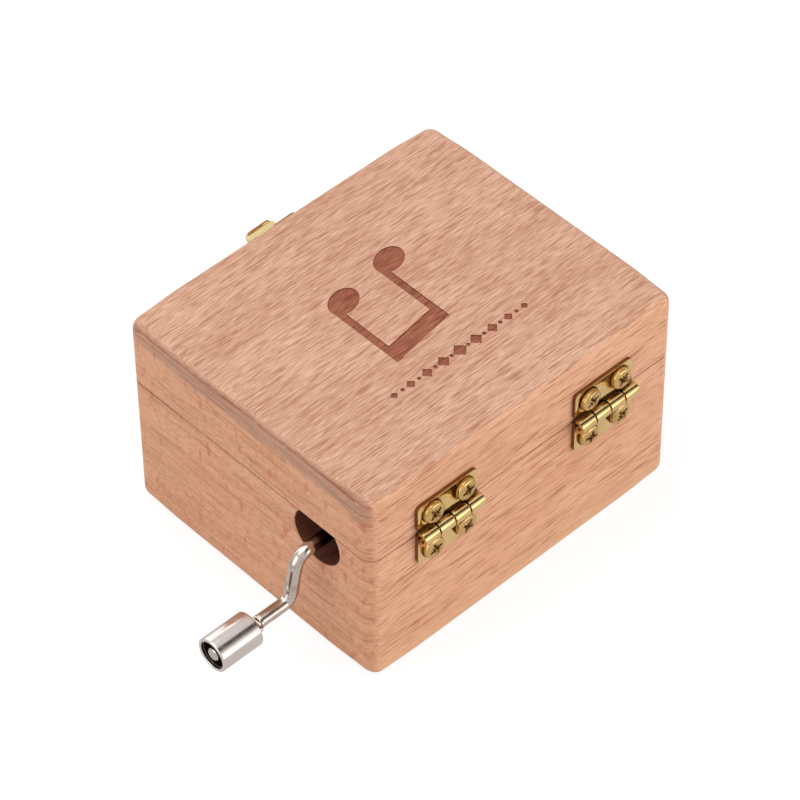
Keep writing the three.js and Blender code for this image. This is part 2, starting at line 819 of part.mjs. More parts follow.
function crankKnob() {
  const bore = crankRodRadius + fitGap;
  const inside = knobRadius - knobRim;
  const profile = [
    [bore, 0],
    [knobRadius - knobEdge, 0],
    [knobRadius, knobEdge],
    [knobRadius, knobLength - knobEdge],
    [knobRadius - knobEdge, knobLength],
    [inside, knobLength],
    [inside, knobWeb],
    [bore, knobWeb],
    [bore, 0],
  ];
  return revolve(profile, 32).rotateZ(-Math.PI / 2).translate(knobStart, crankY, crankZ - crankRadius);
}

// Worm: rings across the rod whose radius follows one thread

function threadRadius(along, half) {
  const offset = along - threadPitch * Math.round(along / threadPitch);
  const pitchHalf = (threadPitch / 2 - meshBacklash) / 2;
  const height = (pitchHalf - Math.abs(offset)) / Math.tan(pressureAngle);
  const thread = wormPitchRadius + THREE.MathUtils.clamp(height, -dedendum, addendum);
  const runOut = THREE.MathUtils.clamp(2 * (threadLength / 2 - Math.abs(half)) / threadPitch, 0, 1);
  return THREE.MathUtils.lerp(wormHubRadius, thread, runOut);
}

function worm() {
  const sides = 16;
  const step = threadPitch / 8;
  const count = Math.ceil(threadLength / step);
  const inner = Array.from({ length: count + 1 }, (unused, index) => (index / count - 0.5) * threadLength);
  const stations = [-wormLength / 2, ...inner, wormLength / 2];
  const rings = stations.map((x) => Array.from({ length: sides }, (unused, side) => {
    const angle = (2 * Math.PI * side) / sides;
    const radius = threadRadius(x - (threadPitch * (angle + Math.PI / 2)) / (2 * Math.PI), x);
    return new THREE.Vector3(x, radius * Math.cos(angle), radius * Math.sin(angle));
  }));
  const solid = toSolid(loft(
    rings,
    new THREE.Vector3(-wormLength / 2, 0, 0),
    new THREE.Vector3(wormLength / 2, 0, 0),
  ));
  const bore = rod(crankRodRadius + fitGap, wormLength + 2 * overrun).rotateZ(Math.PI / 2);
  return toGeometry(cut(solid, toSolid(bore)));
}

// Drum, its wheel, its end cap and its shaft: drawn along Y about the drum's axis

function drum() {
  const inner = drumRadius - drumWall;
  const sleeve = toSolid(revolve([
    [inner, drumStart],
    [drumRadius, drumStart],
    [drumRadius, drumEnd],
    [inner, drumEnd],
    [inner, drumStart],
  ], 36));
  const pins = Array.from({ length: pinSteps }, (unused, step) => {
    const wave = Math.abs(((step * 5) % (2 * toothCount)) - toothCount);
    const track = Math.min(wave, toothCount - 1);
    const angle = (2 * Math.PI * step) / pinSteps;
    return toSolid(rod(pinRadius, pinHeight + pinRoot, 4).rotateZ(-Math.PI / 2)
      .translate(drumRadius + (pinHeight - pinRoot) / 2, toothY(track), 0)
      .rotateY(angle));
  });
  return toGeometry(join(sleeve, ...pins));
}

function toothY(track) {
  return combMiddle + (track - (toothCount - 1) / 2) * toothPitch;
}

function wheelTooth(index) {
  const pitchHalf = (threadPitch / 2 - meshBacklash) / 2;
  const middle = (2 * Math.PI * (index + 0.5)) / wheelTeeth + Math.PI / 2;
  const levels = [-dedendum, 0, addendum];
  const flank = levels.map((level) => {
    const radius = wheelPitchRadius + level;
    const curve = (level * level) / (2 * wheelPitchRadius);
    const half = pitchHalf - level * Math.tan(pressureAngle) - curve;
    return [radius, half / radius];
  });
  const rising = flank.map(([radius, half]) => [radius, middle - half]);
  const falling = flank.map(([radius, half]) => [radius, middle + half]).reverse();
  return [...rising, ...falling];
}

function drumWheel() {
  const outline = Array.from({ length: wheelTeeth }, (unused, index) => wheelTooth(index)).flat();
  const slant = -threadPitch / (2 * Math.PI * wormPitchRadius) / wheelPitchRadius;
  const stations = [-0.5, 0.5].map((share) => share * wheelWidth);
  const rings = stations.map((y) => outline.map(([radius, angle]) => {
    const turned = angle + slant * y;
    return new THREE.Vector3(radius * Math.cos(turned), y, radius * Math.sin(turned));
  }));
  const middle = (y) => new THREE.Vector3(0, y, 0);
  const teeth = toSolid(loft(
    rings.map((ring) => ring.slice().reverse()),
    middle(stations[0]),
    middle(stations[1]),
  ).translate(0, crankY, 0));
  const wheelStart = crankY - wheelWidth / 2;
  const disc = (radius, start, end) => toSolid(rod(radius, end - start).translate(0, (start + end) / 2, 0));
  const flangeStart = drumEnd + seatGap;
  const flangeEnd = flangeStart + capThickness;
  const neckRadius = wheelPitchRadius - dedendum - endGap;
  const spigot = disc(drumRadius - drumWall - fitGap, drumEnd - capThickness, flangeEnd);
  const flange = disc(drumRadius, flangeStart, flangeEnd);
  const neck = disc(neckRadius, flangeStart, wheelStart + capThickness);
  const hub = disc(wormHubRadius * hubShare, drumEnd, bedBack);
  const limit = boxBetween(
    new THREE.Vector3(-boxLength, -boxLength, -boxLength),
    new THREE.Vector3(boxLength, bearingStarts().back - endGap, boxLength),
  );
  const bore = rod(drumShaftRadius + fitGap, boxDepth);
  return toGeometry(cut(
    join(teeth, spigot, flange, neck, hub).intersect(toSolid(limit)),
    toSolid(bore),
  ));
}

function drumCap() {
  const outer = drumStart - seatGap - capThickness;
  const inner = drumStart + capThickness;
  const bore = drumShaftRadius + fitGap;
  return revolve([
    [bore, outer],
    [drumRadius, outer],
    [drumRadius, drumStart - seatGap],
    [drumRadius - drumWall - fitGap, drumStart - seatGap],
    [drumRadius - drumWall - fitGap, inner],
    [bore, inner],
    [bore, outer],
  ], roundSides);
}

function bearingStarts() {
  const front = drumStart - seatGap - capThickness - endGap - bearingThickness;
  return { front, back: crankY + wheelWidth / 2 + 2 * endGap };
}

function drumShaft() {
  const starts = bearingStarts();
  const low = starts.front - endGap;
  const high = starts.back + bearingThickness + endGap;
  return rod(drumShaftRadius, high - low, screwSides).translate(0, (low + high) / 2, 0);
}

function drumGroup() {
  const group = new THREE.Group();
  group.position.set(drumX, 0, drumZ);
  group.add(
    piece('drum', drum(), 'brass'),
    piece('drum_wheel', drumWheel(), 'nylon'),
    piece('drum_cap', drumCap(), 'nylon'),
    piece('drum_shaft', drumShaft(), 'steel'),
  );
  return group;
}

// Movement frame, comb and crank posts

function combSlotEnd(index) {
  const share = index / (toothCount - 2);
  return combTip - combReach * THREE.MathUtils.lerp(bassSlotShare, trebleSlotShare, share);
}

function combOutline() {
  const low = combMiddle - combWidth / 2;
  const half = (toothPitch * (1 - toothSlotShare)) / 2;
  const tip = (toothPitch * toothTipShare) / 2;
  const shape = new THREE.Shape();
  const back = combBack;
  const edge = combMargin;
  shape.moveTo(back, low - edge);
  shape.lineTo(combSlotEnd(0), low - edge);
  shape.lineTo(combSlotEnd(0) + edge, toothY(0) - half);
  for (let index = 0; index < toothCount; index += 1) {
    const y = toothY(index);
    const shoulder = combTip - toothTipLength;
    shape.lineTo(shoulder, y - half);
    shape.lineTo(combTip, y - tip);
    shape.lineTo(combTip, y + tip);
    shape.lineTo(shoulder, y + half);
    if (index < toothCount - 1) {
      shape.lineTo(combSlotEnd(index), y + half);
      shape.lineTo(combSlotEnd(index), y + toothPitch - half);
    }
  }
  const high = combMiddle + combWidth / 2;
  shape.lineTo(combSlotEnd(toothCount - 2) + edge, toothY(toothCount - 1) + half);
  shape.lineTo(combSlotEnd(toothCount - 2), high + edge);
  shape.lineTo(back, high + edge);
  shape.closePath();
  return shape;
}

const combScrewPlaces = [-1, 0, 1].map((share) => new THREE.Vector2(
  combBack + combScrewInset,
  combMiddle + share * (combWidth / 2 - combScrewInset / 2),
));

function comb() {
  const sheet = toSolid(extrude(combOutline(), combThickness).translate(0, 0, combBottom));
  const holes = combScrewPlaces.map((place) => toSolid(
    rod(combScrewShankRadius + fitGap, 2 * overrun + 2 * combThickness, screwSides).rotateX(Math.PI / 2)
      .translate(place.x, place.y, combBottom),
  ));
  return toGeometry(cut(sheet, ...holes));
}

function combPad() {
  const low = combMiddle - combWidth / 2 - combMargin;
  const high = combMiddle + combWidth / 2 + combMargin;
  const shape = new THREE.Shape();
  shape.moveTo(combBack, low);
  shape.lineTo(combSlotEnd(0) - combPadLand, low);
  shape.lineTo(combSlotEnd(toothCount - 2) - combPadLand, high);
  shape.lineTo(combBack, high);
  shape.closePath();
  const bottom = bedTop - bedThickness / 2;
  return toSolid(extrude(shape, combBottom - seatGap - bottom).translate(0, 0, bottom));
}

function bearingOutline() {
  const shape = new THREE.Shape();
  const crown = bearingWidth / 2;
  const bottom = bedTop - bedThickness / 2;
  shape.moveTo(-bearingFoot / 2, bottom);
  shape.lineTo(bearingFoot / 2, bottom);
  shape.lineTo(crown, drumZ);
  shape.absarc(0, drumZ, crown, 0, Math.PI);
  shape.closePath();
  const bore = new THREE.Path();
  bore.absarc(0, drumZ, drumShaftRadius + fitGap, 0, 2 * Math.PI, true);
  shape.holes.push(bore);
  return shape;
}

function movementFrame() {
  const outline = roundedRectangle(bedEnd - bedStart, bedBack - bedFront, bedCornerRadius);
  const plate = extrude(outline, bedThickness)
    .translate((bedStart + bedEnd) / 2, (bedFront + bedBack) / 2, bedBottom);
  const starts = bearingStarts();
  const bearings = [starts.front, starts.back].map((start) => toSolid(
    extrudeAlongY(bearingOutline(), bearingThickness, 9).translate(drumX, start, 0),
  ));
  const windowEnd = combTip - toothTipLength;
  const windowStart = combSlotEnd(toothCount - 2) + combMargin;
  const windowLength = windowEnd - windowStart;
  const windowOutline = roundedRectangle(windowLength, combWidth, windowLength * windowCornerShare);
  const window = extrude(windowOutline, bedThickness + 2 * overrun)
    .translate((windowStart + windowEnd) / 2, combMiddle, bedBottom - overrun);
  const combHoles = combScrewPlaces.map((place) => toSolid(
    shankHole(combScrewShankRadius, combScrewDepth).rotateX(Math.PI / 2)
      .translate(place.x, place.y, combBottom),
  ));
  const baseHoles = baseScrewPlaces.map((place) => toSolid(
    rod(baseScrewShankRadius + fitGap, 2 * bedTop, screwSides).rotateX(Math.PI / 2)
      .translate(place.x, place.y, bedTop),
  ));
  const postHoles = Object.values(postSides).map((side) => toSolid(
    rod(combScrewShankRadius + fitGap, 2 * bedTop, screwSides).rotateX(Math.PI / 2)
      .translate(postScrewX(side), crankY, bedTop),
  ));
  return toGeometry(cut(
    join(toSolid(plate), combPad(), ...bearings),
    toSolid(window),
    ...combHoles,
    ...baseHoles,
    ...postHoles,
  ));
}

const postSides = { inner: -1, outer: 1 };

function postScrewX(side) {
  return drumX + side * (postReach + postFoot * postScrewShare);
}

function crankPost(side) {
  const foot = bedTop + seatGap;
  const upright = new THREE.Shape();
  const half = postWidth / 2;
  upright.moveTo(-half, foot);
  upright.lineTo(half, foot);
  upright.lineTo(half, crankZ - postCrown);
  upright.absarc(0, crankZ, postCrown, 0, Math.PI);
  upright.lineTo(-half, crankZ - postCrown);
  upright.closePath();
  const wallSolid = toSolid(extrudeAlongX(upright, postThickness, 8)
    .translate(drumX + side * (postReach + postThickness / 2), crankY, 0));
  const near = drumX + side * postReach;
  const far = near + side * postFoot;
  const base = boxBetween(
    new THREE.Vector3(Math.min(near, far), crankY - half, foot),
    new THREE.Vector3(Math.max(near, far), crankY + half, foot + postSheet),
  );
  const bore = rod(crankRodRadius + fitGap, boxLength).rotateZ(Math.PI / 2).translate(0, crankY, crankZ);
  const hole = rod(combScrewShankRadius + fitGap, 2 * bedTop, screwSides).rotateX(Math.PI / 2)
    .translate(postScrewX(side), crankY, foot);
  return toGeometry(cut(join(wallSolid, toSolid(base)), toSolid(bore), toSolid(hole)));
}

function movementScrews() {
  const combScrew = crossHeadScrew(
    combScrewHeadRadius, combScrewHeadHeight, combScrewShankRadius, combThickness + combScrewDepth,
  );
  const postScrew = crossHeadScrew(
    combScrewHeadRadius, combScrewHeadHeight, combScrewShankRadius, postSheet + bedThickness,
  );
  const baseScrew = crossHeadScrew(
    baseScrewHeadRadius, baseScrewHeadHeight, baseScrewShankRadius, bedTop - baseScrewRecess,
  );
  const stand = (name, geometry, x, y, z, turn) => {
    const screw = piece(name, geometry.clone(), 'steel');
    screw.position.set(x, y, z);
    screw.rotation.x = turn;
    return screw;
  };
  const up = Math.PI / 2;
  return [
    ...combScrewPlaces.map((place, index) => stand(
      `comb_screw_${index + 1}`, combScrew, place.x, place.y, combBottom + combThickness + seatGap, up,
    )),
    ...Object.entries(postSides).map(([name, side]) => stand(
      `crank_post_${name}_screw`, postScrew, postScrewX(side), crankY, bedTop + postSheet + 2 * seatGap, up,
    )),
    ...baseScrewPlaces.map((place, index) => stand(
      `base_screw_${index + 1}`, baseScrew, place.x, place.y, baseScrewRecess - seatGap, -up,
    )),
  ];
}

function wormPiece() {
  const mesh = piece('crank_worm', worm(), 'brass');
  mesh.position.set(drumX, crankY, crankZ);
  return mesh;
}

const musicBox = new THREE.Group();
musicBox.add(
  piece('box_body', boxBody(), 'beech'),
  piece('lid', lid(), 'beech'),
  ...Object.entries(hingePlaces).map(([place, x]) => hinge(place, x)),
  ...hingeScrews(),
  latch(),
  ...latchNails(),
  piece('crank_rod', crankRod(), 'chrome'),
  piece('crank_knob', crankKnob(), 'chrome'),
  wormPiece(),
  drumGroup(),
  piece('movement_frame', movementFrame(), 'zinc'),
  piece('comb', comb(), 'steel'),
  ...Object.entries(postSides).map(([name, side]) => piece(`crank_post_${name}`, crankPost(side), 'steel')),
  ...movementScrews(),
);

export default musicBox;
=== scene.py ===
import json
import math

import bmesh
import bpy
from mathutils import Matrix, Vector

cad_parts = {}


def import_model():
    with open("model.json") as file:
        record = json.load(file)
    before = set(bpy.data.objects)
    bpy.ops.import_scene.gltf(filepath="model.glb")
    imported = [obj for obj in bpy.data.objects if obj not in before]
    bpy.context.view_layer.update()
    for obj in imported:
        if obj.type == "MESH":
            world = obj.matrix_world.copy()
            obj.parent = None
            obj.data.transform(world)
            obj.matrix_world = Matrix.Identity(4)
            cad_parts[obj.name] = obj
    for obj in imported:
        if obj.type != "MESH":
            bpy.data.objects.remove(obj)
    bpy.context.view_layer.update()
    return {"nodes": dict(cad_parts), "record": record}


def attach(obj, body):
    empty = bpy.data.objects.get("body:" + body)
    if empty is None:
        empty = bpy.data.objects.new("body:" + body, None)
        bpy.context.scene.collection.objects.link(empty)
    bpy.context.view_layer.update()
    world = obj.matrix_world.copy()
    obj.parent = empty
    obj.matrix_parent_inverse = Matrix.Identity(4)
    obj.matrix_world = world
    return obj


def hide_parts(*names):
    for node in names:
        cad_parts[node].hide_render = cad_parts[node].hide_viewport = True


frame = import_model()

mm = 0.001

# Wooden box
box_length = 64 * mm
box_depth = 54 * mm
box_height = 39 * mm
seam_height = 26.5 * mm
seam_gap = 0.2 * mm
wall = 6 * mm
floor_thickness = 5 * mm
roof_thickness = 6 * mm
corner_radius = 2.3 * mm
# Edge roundings on the Y faces, on the X faces, and extra at the corners
foot_rounding = (1.0 * mm, 1.75 * mm, 0.5 * mm)
crown_rounding = (1.1 * mm, 1.25 * mm, 0.7 * mm)
seam_rounding = (0.12 * mm, 0.12 * mm, 0)
corner_reach = 7 * mm
cavity_radius = 4 * mm
crank_hole_radius = 4.95 * mm
crank_hole_y = 15.2 * mm
crank_hole_z = 23.4 * mm
hole_rim = 0.15 * mm
overrun = 1 * mm
corner_steps = 12
side_steps = 24
rounding_steps = 8
hole_sides = 96

# Engraving on the lid
engraving_depth = 0.14 * mm
note_head_length = 3.1 * mm
note_head_width = 2.25 * mm
note_head_tilt = math.radians(20)
note_head_sides = 40
note_spread = 5.6 * mm
note_bottom = -7.8 * mm
note_rise = 0.9 * mm
stem_width = 1.35 * mm
stem_length = 15 * mm
beam_width = 3.1 * mm
ornament_y = 12.8 * mm
ornament_count = 4
ornament_pitch = 3.4 * mm
ornament_size = 1.35 * mm
dot_radius = 0.34 * mm
dot_sides = 16

# Hinges
hinge_places = {"near": 16.8 * mm, "far": -16.1 * mm}
hinge_axis_y = 28.31 * mm
leaf_width = 12.3 * mm
leaf_height = 6.2 * mm
leaf_thickness = 0.6 * mm
leaf_corner = 1 * mm
leaf_rounding = 0.09 * mm
edge_share = 0.4
knuckle_count = 4
knuckle_radius = 1.25 * mm
knuckle_length = 2.82 * mm
knuckle_gap = 0.32 * mm
knuckle_clearance = 0.25 * mm
roll_start = math.radians(165)
roll_sweep = math.radians(305)
roll_steps = 40
screw_spread = 3.3 * mm
screw_rise = 3.9 * mm
sink_radius = 2.1 * mm
sink_bottom_radius = 1.3 * mm
sink_depth = 0.45 * mm

# Hinge screws
screw_sides = 48
head_radius = 1.9 * mm
head_height = 1 * mm
head_edge_share = 0.66
head_crown_shares = (0.82, 0.95)
head_foot_easing = 0.1 * mm
head_edge_easing = 0.25 * mm
head_crown_easing = 0.3 * mm
shank_radius = 0.75 * mm
shank_length = 5 * mm
screw_axis_gap = 0.05 * mm
cross_width = 0.54 * mm
cross_reach = 1.3 * mm
cross_nick_width = 0.26 * mm
cross_nick_reach = 0.9 * mm
cross_inner_radius = 0.5 * mm
cross_inner_angle = math.radians(31)
cross_depth = 0.5 * mm
cross_arms = 8
cross_bottom_share = 0.45
# Turn, and tilt about X and Z, of each hinge screw in degrees
screw_turns = [
    (20, 1.5, -2), (-32, -2, 2), (38, 3, -3), (8, 2.5, 2.5),
    (-12, -2, -1.5), (33, 1.5, 2), (25, -2.5, 2), (-40, 2, -2),
]

# Crank
crank_y = 15.5 * mm
crank_z = 22.9 * mm
rod_radius = 1.1 * mm
rod_sides = 40
rod_inner_end = -2.4 * mm
rod_step = 0.25 * mm
rod_end_step = 0.08 * mm
first_bend_x = 36.2 * mm
second_bend_x = 38 * mm
arm_drop = 8.55 * mm
first_bend_trim = 2.6 * mm
second_bend_trim = 1.9 * mm
bend_steps = 20
# Two ears pressed out of the rod: distance before their end, and the rod's shares of width and height there
ear_gap = 0.3 * mm
ear_shares = (
    (1.8 * mm, (1, 1)), (1.3 * mm, (1.08, 0.95)), (0.8 * mm, (1.5, 0.62)), (0.35 * mm, (1.42, 0.7)),
    (0, (1, 1)),
)
knob_start = 46 * mm
knob_length = 7.75 * mm
knob_radius = 2.95 * mm
knob_rim = 0.55 * mm
knob_edge = 0.22 * mm
knob_inner_edge = 0.12 * mm
knob_lip = 0.5 * mm
knob_step = 0.02 * mm
knob_web = 3.2 * mm
knob_sides = 96
rod_collar_radius = 1.7 * mm
rod_collar_length = 0.7 * mm
rod_collar_gap = 0.3 * mm
rod_collar_slope = 0.08 * mm
rod_tip_inset = 0.2 * mm
rod_tip_slope = 0.16 * mm
rod_tip_share = 0.88
flat_share = 0.99
bore_gap = 0.12 * mm
wrinkle_start = 2 * mm
wrinkle_reach = 1.3 * mm
wrinkle_pitch = 0.42 * mm
wrinkle_height = 0.1 * mm

# Latch
latch_x = 2.7 * mm
latch_sheet = 0.6 * mm
latch_corner = 1.2 * mm
seat_gap = 0.06 * mm
catch_width = 12.6 * mm
catch_bottom = 28.4 * mm
catch_top = 37.62 * mm
catch_tilt = math.radians(2.4)
catch_rounding = 0.12 * mm
catch_segments = 3
tongue_width = 5.5 * mm
tongue_reach = 2.8 * mm
tongue_root = 36.5 * mm
tongue_top = 37.15 * mm
tongue_cap = 0.2 * mm
tongue_ease = 0.6 * mm
tongue_step = 0.1 * mm
tongue_bend_steps = 10
tongue_tip_share = 0.5
tongue_edge_share = 0.76
window_width = 3.6 * mm

# Edges
smooth_angle = math.radians(38)
screw_smooth_angle = math.radians(30)
knob_smooth_angle = math.radians(50)
bevel_angle = math.radians(40)
bevel_segments = 2
easing_steps = 5
cad_rounding = 0.06 * mm
cad_bevel_angle = math.radians(35)
weld_reach = 0.001 * mm
sliver = 0.002 * mm

# Noise by name: scales along X, Y and Z, offset, detail, roughness and distortion
no_offset = (0, 0, 0)
noises = {
    "cloud": ((45, 120, 120), no_offset, 4.0, 0.6, 0.0),
    "streak": ((90, 900, 900), no_offset, 3.0, 0.6, 0.0),
    "fibre": ((380, 5200, 5200), no_offset, 2.0, 0.6, 0.0),
    "dash": ((270, 4200, 4200), (0.3, 0.1, 0.7), 2.0, 0.55, 0.0),
    "line": ((160, 3500, 3500), (0.1, 0.9, 0.2), 2.0, 0.5, 0.0),
    "end_band": ((60, 34, 380), no_offset, 4.0, 0.62, 0.4),
    "end_blotch": ((400, 420, 1100), (0.2, 0.6, 0.5), 3.0, 0.6, 0.3),
    "end_fine": ((1400, 1000, 4200), no_offset, 2.0, 0.6, 0.0),
    "end_line": ((200, 90, 2200), (0.4, 0.2, 0.6), 2.0, 0.5, 0.2),
    "end_fleck": ((400, 780, 330), (0.7, 0.5, 0.1), 2.0, 0.4, 0.0),
    "band_edge": ((60, 110, 500), no_offset, 3.0, 0.5, 0.0),
    "low_edge": ((45, 45, 200), no_offset, 2.0, 0.5, 0.0),
    "stain": ((420, 420, 420), no_offset, 4.0, 0.6, 0.0),
    "scratch": ((4000, 300, 300), no_offset, 3.0, 0.6, 0.0),
    "soft_scratch": ((900, 300, 300), no_offset, 3.0, 0.6, 0.0),
    "moulding": ((900, 900, 900), no_offset, 3.0, 0.5, 0.0),
    "floor": ((30, 30, 30), no_offset, 2.0, 0.5, 0.0),
}

# Layers over a wood's ground: noise, values where it starts and is full, share and tone
long_layer_shares = (
    ("streak", 0.42, 0.75, 0.18, "dark"), ("fibre", 0.5, 0.34, 0.6, "light"),
    ("fibre", 0.5, 0.68, 0.5, "mark"), ("dash", 0.52, 0.68, 0.8, "mark"),
)
end_layer_shares = (
    ("end_blotch", 0.5, 0.75, 0.35, "mark"), ("end_fine", 0.48, 0.3, 0.4, "light"),
    ("end_fine", 0.5, 0.7, 0.5, "mark"), ("end_line", 0.56, 0.68, 0.55, "mark"),
)
cloud_span = (0.3, 0.7)
line_span = (0.57, 0.66)
line_share = 0.9
top_line_share = 0.4
low_line_share = 0.15
side_strength_share = 0.74
end_band_span = (0.35, 0.68)
fleck_span = (0.62, 0.74)
fleck_share = 0.6
towards_x_span = (0.35, 0.75)
towards_y_span = (0.4, 0.8)

# Tones of each wood: ground from pale to dark, light strokes, marks and accents
tone_names = ("pale", "dark", "light", "mark", "accent")
wood_tones = {
    "top": ((232, 181, 152), (217, 163, 132), (250, 211, 184), (182, 122, 94), (164, 104, 78)),
    "side": ((240, 182, 145), (229, 167, 128), (250, 204, 170), (202, 136, 100), (160, 94, 64)),
    "end": ((228, 170, 134), (214, 152, 115), (242, 190, 156), (172, 110, 80), (192, 104, 78)),
    "burnt": ((174, 102, 74), (158, 88, 62), (196, 126, 96), (118, 58, 38), (92, 46, 32)),
    "burnt_edge": ((120, 62, 42), (104, 52, 36), (130, 72, 50), (84, 40, 26), (72, 34, 22)),
    "dark": ((132, 79, 60), (104, 58, 44), (140, 86, 66), (70, 40, 31), (64, 36, 27)),
}
burnt_strength = 1.2
wood_dash_span = (0.3, 0.8)
wood_roughness_span = (0.5, 0.68)
wood_specular = 0.3
wood_bump = 0.06 * mm
wood_bump_share = 0.5

# Greyer band in the lid's end, with strands, a whorl of rings at one corner and a reddish rim
band_bottom = 34.2 * mm
band_full_y = -19 * mm
band_rise = 1.2 * mm
band_wave = 1.2 * mm
band_blur = 1.2 * mm
band_tip = 1.6 * mm
band_tone = (192, 145, 121)
band_share = 0.8
strand_tone = (158, 112, 90)
strand_line_span = (0.48, 0.6)
strand_fine_span = (0.5, 0.75)
strand_share = 0.6
whorl_place = (32 * mm, 22 * mm, 36.6 * mm)
whorl_squash = 2.4
whorl_pitch = 0.14 * mm
whorl_wave = 1.2 * mm
whorl_reach = 6 * mm
whorl_core = 3 * mm
whorl_share = 0.4
ring_full = 0.9
rim_tone = (158, 90, 66)
rim_end_span = (0.3, 0.48)
rim_top_span = (0.72, 0.58)
rim_wave_span = (0.8, 1.15)
rim_shares = (0.1, 0.9)

# Plainer grain low on the long sides, with a paler tone there as painted light
low_start = 4.5 * mm
low_end = 9.5 * mm
low_wave = 7 * mm
low_painted_light_tone = (240, 192, 150)
low_painted_light_share = 0.55

# Painted shade in the seam gap: a dark line along the parting line, fading towards the hinges
seam_shade = 0.27 * mm
seam_fade_start = -17 * mm
seam_fade_end = -11 * mm
seam_shares = (0.2, 0.95)
seam_facing_span = (0.95, 0.6)
seam_painted_shade_tone = (104, 50, 30)

# Metals: tone, stained tone, roughness, height of the scratches, share of stains
metal_looks = {
    "polished_brass": ((226, 202, 150), (160, 124, 76), 0.14, 0.0015 * mm, 0.25),
    "hinge_brass": ((220, 188, 128), (160, 124, 76), 0.14, 0.0015 * mm, 0.25),
    "screw_brass": ((204, 168, 106), (128, 92, 50), 0.2, 0.002 * mm, 0.5),
    # Darker brass for cut edges, also used as painted shade in recesses and along the latch's top edges
    "cut_and_shaded_brass": ((142, 100, 60), (86, 54, 32), 0.42, 0.004 * mm, 0.25),
    "bright_nickel": ((206, 195, 189), (170, 158, 152), 0.19, 0.0006 * mm, 0.3),
    "rod_nickel": ((192, 180, 170), (132, 112, 98), 0.13, 0.0012 * mm, 0.5),
    "cut_steel": ((186, 180, 172), (150, 142, 134), 0.55, 0.004 * mm, 0.25),
    "dull_steel": ((70, 66, 64), (34, 30, 30), 0.5, 0.004 * mm, 0.25),
    "comb_steel": ((190, 192, 195), (140, 142, 146), 0.3, 0.004 * mm, 0.25),
    "cast_zinc": ((168, 170, 172), (120, 122, 124), 0.45, 0.02 * mm, 0.25),
    "satin_brass": ((226, 196, 120), (176, 140, 74), 0.28, 0.004 * mm, 0.25),
}
metal_stain_span = (0.45, 0.75)
metal_scratch_span = (0.3, 0.7)
metal_roughness_shares = (0.75, 1.3)
metal_bump_share = 0.25
# Painted shade between the hinges' leaves and knuckles
valley_shade_top = 0.2 * mm
valley_shade_full = 0.6 * mm
valley_shade_reach = 2.3 * mm
valley_shade_share = 0.85
valley_shade_tone = (0.06, 0.03, 0.012, 1)
# Where the rod gets painted shade inside the wall of the crank hole: from its outer end, and from its inner
# end
rod_hole_shade_spans = ((33.4 * mm, 31.6 * mm), (25.6 * mm, 27.2 * mm))
rod_hole_shade_tone = (0.035, 0.022, 0.016, 1)

# White plastic
plastic_tones = ((236, 234, 226), (222, 219, 208))
plastic_tone_span = (0.35, 0.7)
plastic_gloss_span = (0.3, 0.7)
plastic_roughness_span = (0.37, 0.5)
plastic_depth = 0.8 * mm
plastic_depth_share = 0.08
plastic_bump = 0.01 * mm
plastic_bump_share = 0.15

# Camera, solved from the photograph's box corners
camera_azimuth = math.radians(136.987)
camera_elevation = math.radians(46.614)
camera_roll = math.radians(-0.622)
camera_distance = 634.056 * mm
camera_target = Vector((0, 0, 19.41 * mm))
camera_offset = (-0.361 * mm, -0.761 * mm)
camera_lens = 183.53
sensor_width = 36
clip_start = 10 * mm

# Floor and sky
floor_size = 3.0
floor_tone = (0.8, 0.8, 0.8, 1)
floor_gloss_span = (0.3, 0.7)
floor_roughness_span = (0.75, 0.85)
floor_specular = 0.1
floor_glow = 1.12
floor_seen_share = 0.78
floor_mirrored_share = 0.3
sky_level = 0.32
white = (1, 1, 1, 1)

# Lamps: direction, size and power
lamp_distance = 0.9
lamps = {
    "key": ((-0.47, 0.8, 0.37), 0.85, 5.1),
    "top": ((0.25, -0.2, 1), 0.7, 2.7),
    "side": ((1, -0.1, 0.35), 0.7, 2.5),
    "back": ((-0.1, -1, 0.5), 0.7, 1.6),
}

# Dark card beside the knob
card_distance = 0.6
card_direction = (-0.442, 0.772, 0.456)
card_across = (0, -0.8, 0.6)
card_width = 0.8
card_length = 0.9
card_sharp_share = 0.46
card_soft_share = 0.3
card_tone = (0.02, 0.018, 0.016, 1)


# Shader nodes

def feed(tree, node, inputs):
    """Links a node's inputs to sockets, or sets them to constants."""
    for key, value in inputs.items():
        if isinstance(value, bpy.types.NodeSocket):
            tree.links.new(value, node.inputs[key])
        else:
            node.inputs[key].default_value = value


def put(tree, kind, inputs=None, **settings):
    """Adds a shader node, sets its options and feeds its inputs."""
    made = tree.nodes.new("ShaderNode" + kind)
    for name, value in settings.items():
        setattr(made, name, value)
    feed(tree, made, inputs or {})
    return made


def colour(red, green, blue):
    """An sRGB colour from 0 to 255 as the linear colour that the nodes take."""
    shares = [value / 255 for value in (red, green, blue)]
    linear = [share / 12.92 if share <= 0.04045 else ((share + 0.055) / 1.055) ** 2.4 for share in shares]
    return (*linear, 1)


def new_material(name):
    material = bpy.data.materials.new(name)
    material.use_nodes = True
    tree = material.node_tree
    tree.nodes.clear()
    shader = put(tree, "BsdfPrincipled")
    put(tree, "OutputMaterial", {"Surface": shader.outputs["BSDF"]})
    return material, tree, shader


def stretched(tree, vector, scales, move=no_offset):
    return put(tree, "Mapping", {"Vector": vector, "Scale": scales, "Location": move}).outputs["Vector"]


def noise(tree, vector, name):
    scales, move, detail, roughness, distortion = noises[name]
    made = put(tree, "TexNoise", {
        "Vector": stretched(tree, vector, scales, move), "Scale": 1.0, "Detail": detail,
        "Roughness": roughness, "Distortion": distortion,
    })
    return made.outputs["Fac"]


